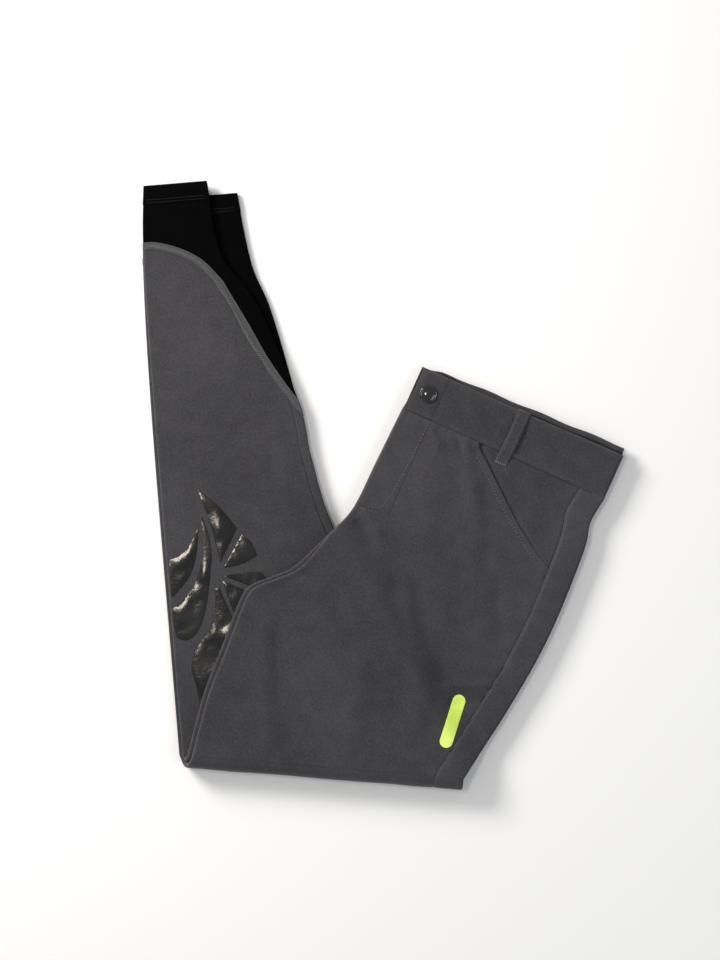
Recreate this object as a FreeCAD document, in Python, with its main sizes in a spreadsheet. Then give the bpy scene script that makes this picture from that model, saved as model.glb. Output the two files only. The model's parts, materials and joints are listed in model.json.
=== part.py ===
"""Riding breeches with knee grip, folded for storage.

The garment is folded down its centre line, left leg over right leg, and then
at the knees, so that both lower legs lie under the thighs.  From the floor up
the stack is left lower leg, right lower leg, right thigh, left thigh.  Past
the edge of the lower legs the thighs come down to the floor.

Plan shapes are drawn in two frames that lie flat on the floor.  The waist
frame has its origin where the waistband seam meets the centre front, X along
the seam to the side and Y up across the waistband.  The shin frame has its
origin at the inner end of the knee crease, Y up the lower leg to the hem.
Every soft piece is a flat solid with room for the waves of its cloth.
"""
import FreeCAD, Part
import math
import os

import Sketcher
from FreeCAD import Placement, Rotation, Vector

doc = FreeCAD.newDocument("riding_breeches")
sheet = doc.addObject("Spreadsheet::Sheet", "sizes")
size = {}


def define(**values):
    """Writes named sizes to the sheet, one row each, and keeps them for the script."""
    for name, value in values.items():
        row = len(size) + 1
        sheet.set(f"A{row}", name)
        sheet.set(f"B{row}", repr(round(float(value), 6)))
        sheet.setAlias(f"B{row}", name)
        size[name] = float(value)


# ---------------------------------------------------------------- driving sizes, mm and degrees
define(  # waist and hips
    waist_slant=24.3, waist_width=220, band_height=45, band_shell=1.2, band_lining=0.8,
    front_rise=240, crotch_reach=64, hip_width=226, side_seam_inset=26,
    fly_length=111, fly_width=31,
)
define(  # thighs and knee crease
    inner_thigh=163, knee_inset=48, knee_span=270, crease_gap=0.3, crease_tilt=19.7,
)
define(  # lower legs
    shin_lean=4.7, shin_step=10, shin_length=569, leg_stagger=14, calf_width=149,
    knee_shin_width=170, knee_shin_height=208, cuff_width=99, rolled_cuff_width=70,
    sock_inner=66, sock_outer=233, seam_width=7, hem_depth=19,
)
define(  # cloth layers: a panel's solid, the air in a leg, and the clearance between pieces
    panel=1.8, thigh_air=2.6, shin_air=1.6, layer_gap=0.4, edge_wall=1.2, grip_film=0.4,
    loop_room=1.5, ramp_run=24,
)
define(  # pockets, loops, labels
    pocket_top=87, pocket_drop=84, bag_depth=185, bag_cloth=1.0,
    loop_width=13, loop_tail=12, loop_strap=0.9, loop_rise=1.6, front_loop_at=112,
    side_loop_at=165, rear_loop_at=62,
    emblem_length=54, emblem_width=13, emblem_film=0.3, label_width=34, label_height=26,
)
define(  # snap fastener
    snap_at=17.5, cap_radius=8.7, cap_height=2.8, cap_edge=1.4, socket_radius=5.6,
    stud_radius=3.0, stud_play=0.9, shank_radius=1.6, flange_radius=5.0, flange_depth=0.22,
)
define(  # fly zip
    zip_at=16, chain_width=4.0, chain_depth=1.0, tape_width=10, tape_cloth=0.3, tooth_pitch=1.6,
    slider_width=7.2, slider_length=8.6, wing=0.35, zip_play=0.1, shield_cloth=0.3,
    crown_height=0.65, wedge_width=0.4, body_gap=0.3,
    pull_width=5.0, pull_length=17, pull_depth=0.35, zip_end=8, fly_hem=6,
)
define(grip_reach=44, grip_gap=4.0, grip_hub_x=46, grip_hub_y=176)  # silicone knee print

# ---------------------------------------------------------------- levels above the floor, worked out
leg_depth = 2 * size["panel"] + size["shin_air"]
thigh_depth = 2 * size["panel"] + size["thigh_air"]
shin_low = size["grip_film"]
shin_high = shin_low + leg_depth + size["layer_gap"]
shin_top = shin_high + leg_depth
knee_level = shin_top + size["grip_film"] + size["layer_gap"] / 2
thigh_high = knee_level + size["layer_gap"] / 2
drop = thigh_high - size["loop_room"]

right_front_low = size["loop_room"]
right_back_low = right_front_low + size["panel"] + size["thigh_air"]
left_back_low = right_back_low + size["panel"] + size["layer_gap"]
left_front_low = left_back_low + size["panel"] + size["thigh_air"]
left_front_top = left_front_low + size["panel"]

band = size["band_shell"] + size["band_lining"]
define(
    band_rf_low=right_front_low,
    band_rf_top=right_front_low + band,
    band_rb_low=right_back_low + 0.3 - band,
    band_rb_top=right_back_low + 0.3,
    band_lb_low=right_back_low + 0.3 + size["loop_strap"] + 0.3,
    band_lb_top=right_back_low + 0.6 + size["loop_strap"] + band,
    band_lf_low=left_front_low + 0.4,
    band_lf_top=left_front_low + 0.4 + band,
)
# the underlap lies on the left back waistband and level with the fly shield
underlap_low = max(size["band_lb_top"] + 0.3, left_back_low + size["panel"] - 0.2)
define(underlap_low=underlap_low, underlap_top=underlap_low + band)
define(prism_room=left_front_top + drop + 20)

# ---------------------------------------------------------------- frames on the floor
UP = Vector(0, 0, 1)
WAIST = Placement(Vector(), Rotation(UP, -size["waist_slant"]))
crease_start = WAIST * Vector(-size["knee_inset"], -size["front_rise"] - size["inner_thigh"], 0)
KNEE = Placement(crease_start, Rotation(UP, size["crease_tilt"] - size["waist_slant"]))
SHIN = Placement(KNEE * Vector(-size["shin_step"], 0, 0), Rotation(UP, size["shin_lean"]))
crease_end = KNEE * Vector(size["knee_span"], 0, 0)
crease_end_in_shin = SHIN.inverse() * crease_end


# ---------------------------------------------------------------- helpers
def curve(points):
    """A straight edge through two points, or a smooth one through more."""
    if len(points) == 2:
        return Part.LineSegment(*points).toShape()
    spline = Part.BSplineCurve()
    spline.interpolate(points)
    return spline.toShape()


def plan_wire(frame, *runs):
    """A closed wire on the floor from runs of (x, y) points in a frame."""
    edges = [curve([frame * Vector(x, y, 0) for x, y in run]) for run in runs]
    return Part.Wire(edges)


def prism(name, wire):
    """A tall solid on a plan outline, from just under the floor to over the stack."""
    outline = doc.addObject("Part::Feature", name + "_outline")
    outline.Shape = wire
    outline.Placement = Placement(Vector(0, 0, -2), Rotation())
    solid = doc.addObject("Part::Extrusion", name)
    solid.Base = outline
    solid.DirMode = "Custom"
    solid.Dir = UP
    solid.Solid = True
    solid.setExpression("LengthFwd", "sizes.prism_room")
    return solid


def join(kind, name, *objects):
    """Part::MultiCommon or Part::MultiFuse of several objects."""
    result = doc.addObject(kind, name)
    result.Shapes = list(objects)
    return result


def common(name, *objects):
    return join("Part::MultiCommon", name, *objects)


def fuse(name, *objects):
    return join("Part::MultiFuse", name, *objects)


def cut(name, base, *tools):
    """The base less each tool in turn."""
    for number, tool in enumerate(tools):
        result = doc.addObject("Part::Cut", name if number == len(tools) - 1 else f"{name}_less{number}")
        result.Base = base
        result.Tool = tool
        base = result
    return base


nodes = {}


def node(name, obj):
    """Names a finished sub-part, which is written to parts/NAME.step."""
    obj.Label = name
    nodes[name] = obj
    return obj


def value(word):
    """A coordinate given as a size's name, with a minus sign before it if need be, or as 0."""
    if word == "0":
        return 0.0
    return -size[word[1:]] if word[0] == "-" else size[word]


def expression(word):
    return "-sizes." + word[1:] if word[0] == "-" else "sizes." + word


def profile(body, plane, loop):
    """A closed sketch whose corners are bound to the sheet.

    The loop holds corners (x, y) as names of sizes.  A third entry is the x of
    the centre of the arc that leaves that corner, and a fourth is True if that
    arc turns clockwise.
    """
    sketch = body.newObject("Sketcher::SketchObject", body.Name + "_profile")
    for origin_plane in body.Origin.OriginFeatures:
        if origin_plane.Role == plane:
            sketch.AttachmentSupport = [(origin_plane, "")]
    sketch.MapMode = "FlatFace"
    count = len(loop)
    for number, corner in enumerate(loop):
        start = Vector(value(corner[0]), value(corner[1]), 0)
        after = loop[(number + 1) % count]
        end = Vector(value(after[0]), value(after[1]), 0)
        if len(corner) == 2:
            sketch.addGeometry(Part.LineSegment(start, end))
        else:
            middle_x = value(corner[2])
            offset = (end - start).normalize().cross(UP)
            centre = (start + end) / 2
            if abs(offset.x) > 1e-6:
                centre = centre + offset * ((middle_x - centre.x) / offset.x)
            radius = (start - centre).Length
            first = math.atan2(start.y - centre.y, start.x - centre.x)
            last = math.atan2(end.y - centre.y, end.x - centre.x)
            if len(corner) == 4:
                first, last = last, first
            if last < first:
                last += 2 * math.pi
            circle = Part.Circle(centre, UP, radius)
            sketch.addGeometry(Part.ArcOfCircle(circle, first, last))
    for number, corner in enumerate(loop):
        turned = len(corner) == 4
        following = (number + 1) % count
        turned_next = len(loop[following]) == 4
        sketch.addConstraint(Sketcher.Constraint(
            "Coincident", number, 1 if turned else 2, following, 2 if turned_next else 1))
    for number, corner in enumerate(loop):
        end_point = 2 if len(corner) == 4 else 1
        for kind, word in (("DistanceX", corner[0]), ("DistanceY", corner[1])):
            index = sketch.addConstraint(Sketcher.Constraint(kind, -1, 1, number, end_point, value(word)))
            if word != "0":
                sketch.setExpression(f"Constraints[{index}]", expression(word))
        if len(corner) > 2:
            index = sketch.addConstraint(
                Sketcher.Constraint("DistanceX", -1, 1, number, 3, value(corner[2])))
            if corner[2] != "0":
                sketch.setExpression(f"Constraints[{index}]", expression(corner[2]))
    sketch.recompute()
    return sketch


def pad(name, plane, loop, length, frame, reverse=False, middle=False):
    """A body with one padded profile, placed in a frame."""
    body = doc.addObject("PartDesign::Body", name)
    feature = body.newObject("PartDesign::Pad", name + "_pad")
    feature.Profile = profile(body, plane, loop)
    feature.setExpression("Length", "sizes." + length)
    feature.Reversed = reverse
    feature.Midplane = middle
    body.Tip = feature
    body.Placement = frame
    return body


def turned(name, loop, frame):
    """A body of revolution about its own Z axis, from a profile in X and Z."""
    body = doc.addObject("PartDesign::Body", name)
    sketch = profile(body, "XZ_Plane", loop)
    feature = body.newObject("PartDesign::Revolution", name + "_revolution")
    feature.Profile = sketch
    feature.ReferenceAxis = (sketch, ["V_Axis"])
    feature.Angle = 360
    body.Tip = feature
    body.Placement = frame
    return body


def box(name, frame, low, high):
    """A Part::Box between two corners in a frame."""
    solid = doc.addObject("Part::Box", name)
    solid.Length, solid.Width, solid.Height = [b - a for a, b in zip(low, high)]
    solid.Placement = frame * Placement(Vector(*low), Rotation())
    return solid


# ---------------------------------------------------------------- plan outlines
def thigh_left_edge(inset):
    """Centre front, crotch curve and inseam, from the waistband seam down to the crease."""
    reach, rise, fly = size["crotch_reach"], size["front_rise"], size["fly_length"]
    curve_drop = rise - fly
    crotch = [(0.22, 0.25), (0.42, 0.58), (0.68, 0.74), (0.94, 0.87)]
    run = [(inset - 0.06 * reach, -fly)]
    run += [(inset - reach * a, -fly - curve_drop * b - inset) for a, b in crotch]
    run += [(inset - reach, -rise)]
    lower = size["inner_thigh"]
    knee_shift = reach - size["knee_inset"]
    run += [(inset - reach + knee_shift * a, -rise - lower * b) for a, b in ((0.18, 0.33), (0.35, 0.62))]
    return run


def thigh_right_edge(inset):
    """Side of the hip and thigh, from the waistband seam down to the crease."""
    hip, waist = size["hip_width"], size["waist_width"]
    end = WAIST.inverse() * crease_end
    depth = -end.y
    return [
        (waist - inset, 0), (waist - 3 - inset, -0.09 * depth), (hip - 3 - inset, -0.19 * depth),
        (hip - inset, -0.48 * depth), (end.x + 0.62 * (hip - end.x) - inset, -0.75 * depth),
        (end.x - inset, end.y),
    ]


def thigh_outline(left_inset=0.0, right_inset=0.0, overshoot=0.0):
    """The thigh's outline.  An overshoot runs it past the waistband seam and the crease."""
    left, right = thigh_left_edge(left_inset), thigh_right_edge(right_inset)
    along = WAIST.inverse().Rotation * KNEE.Rotation * Vector(1, 0, 0)
    start = WAIST.inverse() * crease_start + along * left_inset
    corner = (start.x, start.y)
    runs = [[(left_inset, overshoot), left[0]], left + [corner]]
    if overshoot:
        low_left, low_right = (corner[0], corner[1] - overshoot), (right[-1][0], right[-1][1] - overshoot)
        runs += [[corner, low_left], [low_left, low_right], [low_right, right[-1]]]
        runs += [right[::-1], [right[0], (right[0][0], overshoot)]]
        runs += [[(right[0][0], overshoot), (left_inset, overshoot)]]
    else:
        runs += [[corner, right[-1]], right[::-1], [right[0], (left_inset, 0)]]
        runs[0] = [(left_inset, 0), left[0]]
    return plan_wire(WAIST, *runs)


def shin_outline(length, cuff, inset=0.0, overshoot=0.0):
    """The lower leg's outline from the crease up to the hem, in the shin frame."""
    knee_end = crease_end_in_shin
    slope = knee_end.y / knee_end.x
    calf = size["calf_width"]
    knee_width, knee_height = size["knee_shin_width"], size["knee_shin_height"]
    side = [
        (knee_width - inset, knee_height),
        (calf + 3 - inset, 0.5 * length), (calf - 5 - inset, 0.6 * length),
        (0.5 * (calf + cuff) - inset, 0.78 * length), (cuff + 9 - inset, 0.87 * length),
        (cuff - inset, length),
    ]
    start = (inset, slope * inset)
    low_right = (knee_end.x - inset, knee_end.y)
    if not overshoot:
        lean = [(inset, 0.6 * length), (inset + 2, 0.88 * length), (inset + 8, length)]
        return plan_wire(SHIN, [start] + lean, [lean[-1], side[-1]], side[::-1],
                         [side[0], low_right], [low_right, start])
    below = [(x, y - overshoot) for x, y in (start, low_right)]
    lean = [(inset, 0.6 * length), (inset + 2, 0.88 * length), (inset + 8, length)]
    above = [(x, length + overshoot) for x in (lean[-1][0], side[-1][0])]
    return plan_wire(
        SHIN, [start] + lean, [lean[-1], above[0]], [above[0], above[1]], [above[1], side[-1]],
        side[::-1], [side[0], low_right], [low_right, below[1]], [below[1], below[0]], [below[0], start])


def sock_side(length, shift=0.0):
    """Everything on the hem side of the curved calf seam, moved by a shift towards the hem."""
    inner, outer = length - size["sock_inner"], length - size["sock_outer"]
    fall, calf = inner - outer, size["calf_width"]
    seam = [
        (-20, inner - 2 + shift), (0.07 * calf, inner + 6 + shift), (0.34 * calf, inner - 0.06 * fall + shift),
        (0.51 * calf, inner - 0.24 * fall + shift), (0.70 * calf, inner - 0.61 * fall + shift),
        (0.97 * calf, outer + shift), (1.15 * calf, outer - 18 + shift),
    ]
    far = length + 60
    return plan_wire(SHIN, seam, [seam[-1], (seam[-1][0], far)], [(seam[-1][0], far), (-20, far)],
                     [(-20, far), seam[0]])


# ---------------------------------------------------------------- sloping layers of the thighs
edge_top = SHIN * Vector(size["knee_shin_width"], size["knee_shin_height"], 0)
slope_line = (crease_end - edge_top).normalize()
slope_out = UP.cross(slope_line)
ramp_start = slope_out.dot(edge_top) + 3
ramp_end = ramp_start + size["ramp_run"]
FAR = 900


def layer(name, low, high):
    """A layer of cloth over the lower legs, ramped down to the floor past their edge."""
    corners = [(-FAR, drop), (ramp_start, drop), (ramp_end, 0), (FAR, 0)]
    under = [slope_out * n + slope_line * -FAR + UP * (low + rise) for n, rise in corners]
    over = [slope_out * n + slope_line * -FAR + UP * (high + rise) for n, rise in reversed(corners)]
    outline = doc.addObject("Part::Feature", name + "_section")
    outline.Shape = Part.makePolygon(under + over + under[:1])
    slab = doc.addObject("Part::Extrusion", name)
    slab.Base = outline
    slab.DirMode = "Custom"
    slab.Dir = slope_line
    slab.LengthFwd = 2 * FAR
    slab.Solid = True
    return slab


# ---------------------------------------------------------------- thighs
thigh = prism("thigh_plan", thigh_outline())
thigh_hollow = prism("thigh_hollow_plan", thigh_outline(size["edge_wall"], size["edge_wall"], 6))

front_right = [(x - size["side_seam_inset"], y) for x, y in thigh_right_edge(0)]
front_left = thigh_left_edge(-4)
front_plan = prism("front_panel_plan", plan_wire(
    WAIST, [(-4, 0), front_left[0]], front_left + [(front_left[-1][0], -700)],
    [(front_left[-1][0], -700), (front_right[-1][0], -700)],
    [(front_right[-1][0], -700), front_right[-1]], front_right[::-1], [front_right[0], (-4, 0)]))

rise_end = -size["front_rise"] + 14


def rise_strip(name, near, far):
    """A strip just inside the centre edge, from the waistband seam to the crotch."""
    outer, inner = thigh_left_edge(near)[:5], thigh_left_edge(far)[:5]
    return prism(name, plan_wire(
        WAIST, [(near, 0), outer[0]], outer, [outer[-1], inner[-1]], inner[::-1],
        [inner[0], (far, 0)], [(far, 0), (near, 0)]))


centre_room = rise_strip("centre_room_plan", -6, 2.6)
centre_front_wall = rise_strip("centre_front_wall_plan", -6, size["edge_wall"])
centre_back_seam = rise_strip("centre_back_seam_plan", 2.8, 5.0)

mouth_end_x = size["hip_width"] - 3 - size["side_seam_inset"]
mouth_start_x = size["pocket_top"]
mouth_depth = size["pocket_drop"]
mouth = [
    (mouth_start_x - 3, 3), (mouth_start_x + 0.31 * (mouth_end_x - mouth_start_x), -0.41 * mouth_depth),
    (mouth_start_x + 0.57 * (mouth_end_x - mouth_start_x), -0.68 * mouth_depth),
    (mouth_end_x + 3, -1.02 * mouth_depth),
]
pocket_corner = prism("pocket_corner_plan", plan_wire(
    WAIST, mouth, [mouth[-1], (mouth[-1][0] + 40, mouth[-1][1])],
    [(mouth[-1][0] + 40, mouth[-1][1]), (mouth[-1][0] + 40, 3)], [(mouth[-1][0] + 40, 3), mouth[0]]))
bag_side = size["waist_width"] - size["side_seam_inset"] - 4
bag_left = mouth_start_x - 14
bag_depth = size["bag_depth"]
pocket_bag_plan = prism("pocket_bag_plan", plan_wire(
    WAIST, [(bag_left, 0), (bag_left, -0.8 * bag_depth)],
    [(bag_left, -0.8 * bag_depth), (bag_left + 12, -0.97 * bag_depth), (bag_left + 40, -bag_depth)],
    [(bag_left + 40, -bag_depth), (bag_side - 40, -bag_depth)],
    [(bag_side - 40, -bag_depth), (bag_side - 8, -0.93 * bag_depth), (bag_side, -0.7 * bag_depth)],
    [(bag_side, -0.7 * bag_depth), (bag_side, 0)], [(bag_side, 0), (bag_left, 0)]))

flap_foot = size["fly_hem"] - size["fly_length"]
hinge_gap = size["body_gap"]
flap_plan = prism("flap_plan", plan_wire(
    WAIST, [(-6, 6), (-6, flap_foot)], [(-6, flap_foot), (size["fly_width"] - 8, flap_foot)],
    [(size["fly_width"] - 8, flap_foot), (size["fly_width"] - 2, flap_foot + 3), (size["fly_width"], flap_foot + 9)],
    [(size["fly_width"], flap_foot + 9), (size["fly_width"], 6)], [(size["fly_width"], 6), (-6, 6)]))
flap_room = prism("flap_room_plan", plan_wire(
    WAIST, [(-6, 6), (-6, flap_foot - hinge_gap)],
    [(-6, flap_foot - hinge_gap), (size["fly_width"] - 8, flap_foot - hinge_gap)],
    [(size["fly_width"] - 8, flap_foot - hinge_gap), (size["fly_width"] - 1.8, flap_foot + 2.8),
     (size["fly_width"] + hinge_gap, flap_foot + 9)],
    [(size["fly_width"] + hinge_gap, flap_foot + 9), (size["fly_width"] + hinge_gap, 6)],
    [(size["fly_width"] + hinge_gap, 6), (-6, 6)]))

left_front_layer = layer("left_front_layer", left_front_low, left_front_top)
left_front_sheet = common("left_front_sheet", thigh, front_plan, left_front_layer)
node("left_front_panel", cut("left_front_panel", left_front_sheet, pocket_corner, flap_room))
left_facing_layer = layer("left_facing_layer", left_front_low, left_front_top - 0.5)
node("left_pocket_facing", common("left_pocket_facing", thigh, front_plan, pocket_corner, left_facing_layer))
left_tube_layer = layer("left_tube_layer", left_back_low, left_front_top)
left_air_layer = layer("left_air_layer", left_back_low + size["panel"], left_front_low)
left_tube = common("left_thigh_tube", thigh, left_tube_layer)
left_hollow = common("left_thigh_hollow", thigh_hollow, left_air_layer)
node("left_back_panel", cut("left_back_panel", left_tube, left_hollow, left_front_sheet, centre_room))
left_bag_layer = layer("left_bag_layer", left_front_low - 0.3 - size["bag_cloth"], left_front_low - 0.3)
node("left_pocket_bag", common("left_pocket_bag", pocket_bag_plan, thigh_hollow, left_bag_layer))

right_front_layer = layer("right_front_layer", right_front_low, right_front_low + size["panel"])
right_front_sheet = common("right_front_sheet", thigh, front_plan, right_front_layer)
centre_wall_layer = layer("centre_wall_layer", right_front_low + 0.2, left_front_low - size["body_gap"])
right_centre_wall = common("right_centre_wall", thigh, centre_front_wall, centre_wall_layer)
right_front_cut = cut("right_front_cut", right_front_sheet, pocket_corner)
node("right_front_panel", fuse("right_front_panel", right_front_cut, right_centre_wall))
right_facing_layer = layer("right_facing_layer", right_front_low + 0.5, right_front_low + size["panel"])
node("right_pocket_facing", common("right_pocket_facing", thigh, front_plan, pocket_corner, right_facing_layer))
right_tube_layer = layer("right_tube_layer", right_front_low, right_back_low + size["panel"])
right_air_layer = layer("right_air_layer", right_front_low + size["panel"], right_back_low)
right_tube = common("right_thigh_tube", thigh, right_tube_layer)
right_hollow = common("right_thigh_hollow", thigh_hollow, right_air_layer)
right_back_shell = cut("right_back_shell", right_tube, right_hollow, right_front_sheet, centre_room)
back_seam_layer = layer("back_seam_layer", right_back_low + size["panel"] - 0.2, left_back_low)
right_back_seam = common("right_back_seam", centre_back_seam, back_seam_layer)
node("right_back_panel", fuse("right_back_panel", right_back_shell, right_back_seam))
right_bag_layer = layer("right_bag_layer", right_front_low + size["panel"] + 0.3,
                        right_front_low + size["panel"] + 0.3 + size["bag_cloth"])
node("right_pocket_bag", common("right_pocket_bag", pocket_bag_plan, thigh_hollow, right_bag_layer))

# heat-bonded reflective bar on the left thigh, beside the side seam above the knee
emblem_frame = WAIST * Placement(
    Vector(size["hip_width"] - 53, -size["front_rise"] - 24, 0), Rotation(UP, 6))
half_width, half_length = size["emblem_width"] / 2, size["emblem_length"] / 2
straight = half_length - half_width
bar_wire = Part.Wire([
    curve([emblem_frame * Vector(half_width, -straight, 0), emblem_frame * Vector(half_width, straight, 0)]),
    Part.Arc(*[emblem_frame * Vector(x, y, 0) for x, y in (
        (half_width, straight), (0, half_length), (-half_width, straight))]).toShape(),
    curve([emblem_frame * Vector(-half_width, straight, 0), emblem_frame * Vector(-half_width, -straight, 0)]),
    Part.Arc(*[emblem_frame * Vector(x, y, 0) for x, y in (
        (-half_width, -straight), (0, -half_length), (half_width, -straight))]).toShape(),
])
emblem_plan = prism("emblem_plan", bar_wire)
emblem_layer = layer("emblem_layer", left_front_top, left_front_top + size["emblem_film"])
node("reflective_bar", common("reflective_bar", emblem_plan, emblem_layer))

# ---------------------------------------------------------------- lower legs
def flat_slab(name, low, high):
    return box(name, Placement(), (-FAR, -FAR, low), (FAR, FAR, high))


def lower_leg(side, low, length, cuff, front_up):
    """One flattened lower leg: two panels, the calf seam, the sock and its hem."""
    plan = prism(side + "_shin_plan", shin_outline(length, cuff))
    hollow_plan = prism(side + "_shin_hollow_plan", shin_outline(length, cuff, size["edge_wall"], 6))
    tube = common(side + "_shin_tube", plan, flat_slab(side + "_shin_slab", low, low + leg_depth))
    air = flat_slab(side + "_shin_air", low + size["panel"], low + size["panel"] + size["shin_air"])
    hollow = common(side + "_shin_hollow", hollow_plan, air)
    shell = cut(side + "_shin_shell", tube, hollow)
    past_seam = prism(side + "_past_seam", sock_side(length))
    past_band = prism(side + "_past_band", sock_side(length, size["seam_width"]))
    hem_line = length - size["hem_depth"]
    past_hem = prism(side + "_past_hem", plan_wire(
        SHIN, [(-30, hem_line + 3), (300, hem_line - 4)], [(300, hem_line - 4), (300, hem_line + 99)],
        [(300, hem_line + 99), (-30, hem_line + 99)], [(-30, hem_line + 99), (-30, hem_line + 3)]))
    cloth = cut(side + "_shin_cloth", shell, past_seam)
    upper_half = flat_slab(side + "_shin_upper", low + leg_depth / 2, low + leg_depth + 1)
    lower_half = flat_slab(side + "_shin_lower", low - 1, low + leg_depth / 2)
    front, back = (upper_half, lower_half) if front_up else (lower_half, upper_half)
    node(side + "_shin_front", common(side + "_shin_front", cloth, front))
    node(side + "_shin_back", common(side + "_shin_back", cloth, back))
    seam_zone = common(side + "_seam_zone", shell, past_seam)
    node(side + "_calf_seam", cut(side + "_calf_seam", seam_zone, past_band))
    sock_zone = common(side + "_sock_zone", shell, past_band)
    node(side + "_sock", cut(side + "_sock", sock_zone, past_hem))
    node(side + "_sock_hem", common(side + "_sock_hem", shell, past_hem))


lower_leg("left", shin_low, size["shin_length"] - size["leg_stagger"], size["cuff_width"], False)
lower_leg("right", shin_high, size["shin_length"], size["rolled_cuff_width"], True)


# silicone grip: petals round a hub on the inner knee, with flex gaps between them
def petal(hub, direction, half_angle, reach, bend):
    """A closed petal outline on the floor, inside a sector of the hub's circle."""
    clear, spread = size["grip_gap"] / 2, math.sin(math.radians(half_angle))
    start = (clear + 0.6) / spread
    side = [(start, 0.3)]
    for share, fullness in ((0.36, 1.0), (0.64, 0.86), (0.88, 0.48)):
        radius = start + share * (reach - start)
        side.append((radius, (radius * spread - clear) * fullness))
    placed = []
    for radius, width in side + [(reach, 0)] + [(r, -w) for r, w in reversed(side)]:
        angle = math.radians(direction + bend * (radius / reach) ** 2)
        along, across = Vector(math.cos(angle), math.sin(angle)), Vector(-math.sin(angle), math.cos(angle))
        placed.append(SHIN * (hub + along * radius + across * width))
    spline = Part.BSplineCurve()
    spline.interpolate(placed, PeriodicFlag=True)
    return Part.Wire([spline.toShape()])


def grip(side, hub_y, low):
    """The print: one film, in petals given as direction, half angle, reach and bend."""
    hub, reach = Vector(size["grip_hub_x"], hub_y), size["grip_reach"]
    petals = (
        (84, 20, 2.0, 14), (36, 17, 1.14, 6), (-6, 13, 1.14, 0), (-38, 12, 1.25, -4), (-66, 11, 1.6, -6),
        (-94, 12, 3.1, -8), (-128, 15, 1.3, 4), (-164, 13, 0.95, 6), (157, 15, 0.9, 4), (124, 13, 1.15, 8),
    )
    film = []
    for direction, half_angle, share, bend in petals:
        wire = petal(hub, direction, half_angle, reach * share, bend)
        wire.translate(Vector(0, 0, low))
        film.append(Part.Face(wire).extrude(Vector(0, 0, size["grip_film"])))
    sheet_of_film = doc.addObject("Part::Feature", side + "_knee_grip")
    sheet_of_film.Shape = Part.makeCompound(film)
    node(side + "_knee_grip", sheet_of_film)


grip("right", size["grip_hub_y"], shin_top)
grip("left", size["grip_hub_y"] - size["leg_stagger"] / 2, 0)

# ---------------------------------------------------------------- knee creases
# The cloth that turns the crease is a half ring, one leg's inside the other's.
define(
    right_crease_top=right_back_low + size["panel"] + drop - knee_level,
    right_crease_foot=knee_level - shin_high,
    right_crease_in_top=thigh_high - knee_level,
    right_crease_in_foot=knee_level - shin_top,
    left_crease_top=left_front_top + drop - knee_level,
    left_crease_foot=knee_level - shin_low,
    left_crease_in_top=left_back_low + drop - knee_level,
    left_crease_in_foot=knee_level - shin_low - leg_depth,
)
crease_frame = Placement(KNEE.Base + UP * knee_level, KNEE.Rotation)
for side in ("right", "left"):
    crease = pad(side + "_knee_crease", "YZ_Plane", [
        ("0", side + "_crease_top", "0"), ("-crease_gap", "-" + side + "_crease_foot"),
        ("-crease_gap", "-" + side + "_crease_in_foot", "0", True), ("0", side + "_crease_in_top"),
    ], "knee_span", crease_frame)
    node(side + "_knee_crease", crease)

# ---------------------------------------------------------------- waistband
# One ribbon of shell cloth with a lining inside it.  It runs from the underlap
# round the centre front, along the right front, round the right side, back along
# the right back, round the centre back, along the left back, and round the left
# side to the left front.
turn_front = (size["underlap_top"] - size["band_rf_low"]) / 2
define(
    turn_at=turn_front,
    band_rf_mid=size["band_rf_low"] + size["band_shell"],
    band_rb_mid=size["band_rb_top"] - size["band_shell"],
    band_lb_mid=size["band_lb_low"] + size["band_shell"],
    band_lf_mid=size["band_lf_top"] - size["band_shell"],
    underlap_mid=size["underlap_top"] - size["band_shell"],
    right_turn_at=size["waist_width"] - (size["band_rb_top"] - size["band_rf_low"]) / 2,
    left_turn_at=size["waist_width"] - (size["band_lf_top"] - size["band_lb_low"]) / 2,
    underlap_end=size["fly_width"] + 5,
    band_start=size["fly_width"] + hinge_gap,
)
right_band_shell = pad("right_waistband", "XZ_Plane", [
    ("underlap_end", "underlap_top"), ("turn_at", "underlap_top", "turn_at"),
    ("turn_at", "band_rf_low"), ("right_turn_at", "band_rf_low", "right_turn_at"),
    ("right_turn_at", "band_rb_top"), ("turn_at", "band_rb_top", "turn_at", True),
    ("turn_at", "band_lb_low"), ("turn_at", "band_lb_mid", "turn_at"),
    ("turn_at", "band_rb_mid"), ("right_turn_at", "band_rb_mid", "right_turn_at", True),
    ("right_turn_at", "band_rf_mid"), ("turn_at", "band_rf_mid", "turn_at", True),
    ("turn_at", "underlap_mid"), ("underlap_end", "underlap_mid"),
], "band_height", WAIST, reverse=True)
right_band_lining = pad("right_waistband_lining", "XZ_Plane", [
    ("underlap_end", "underlap_mid"), ("turn_at", "underlap_mid", "turn_at"),
    ("turn_at", "band_rf_mid"), ("right_turn_at", "band_rf_mid", "right_turn_at"),
    ("right_turn_at", "band_rb_mid"), ("turn_at", "band_rb_mid", "turn_at", True),
    ("turn_at", "band_lb_mid"), ("turn_at", "band_lb_top", "turn_at"),
    ("turn_at", "band_rb_low"), ("right_turn_at", "band_rb_low", "right_turn_at", True),
    ("right_turn_at", "band_rf_top"), ("turn_at", "band_rf_top", "turn_at", True),
    ("turn_at", "underlap_low"), ("underlap_end", "underlap_low"),
], "band_height", WAIST, reverse=True)
left_band_shell = pad("left_waistband", "XZ_Plane", [
    ("turn_at", "band_lb_low"), ("left_turn_at", "band_lb_low", "left_turn_at"),
    ("left_turn_at", "band_lf_top"), ("band_start", "band_lf_top"),
    ("band_start", "band_lf_mid"), ("left_turn_at", "band_lf_mid", "left_turn_at", True),
    ("left_turn_at", "band_lb_mid"), ("turn_at", "band_lb_mid"),
], "band_height", WAIST, reverse=True)
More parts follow.
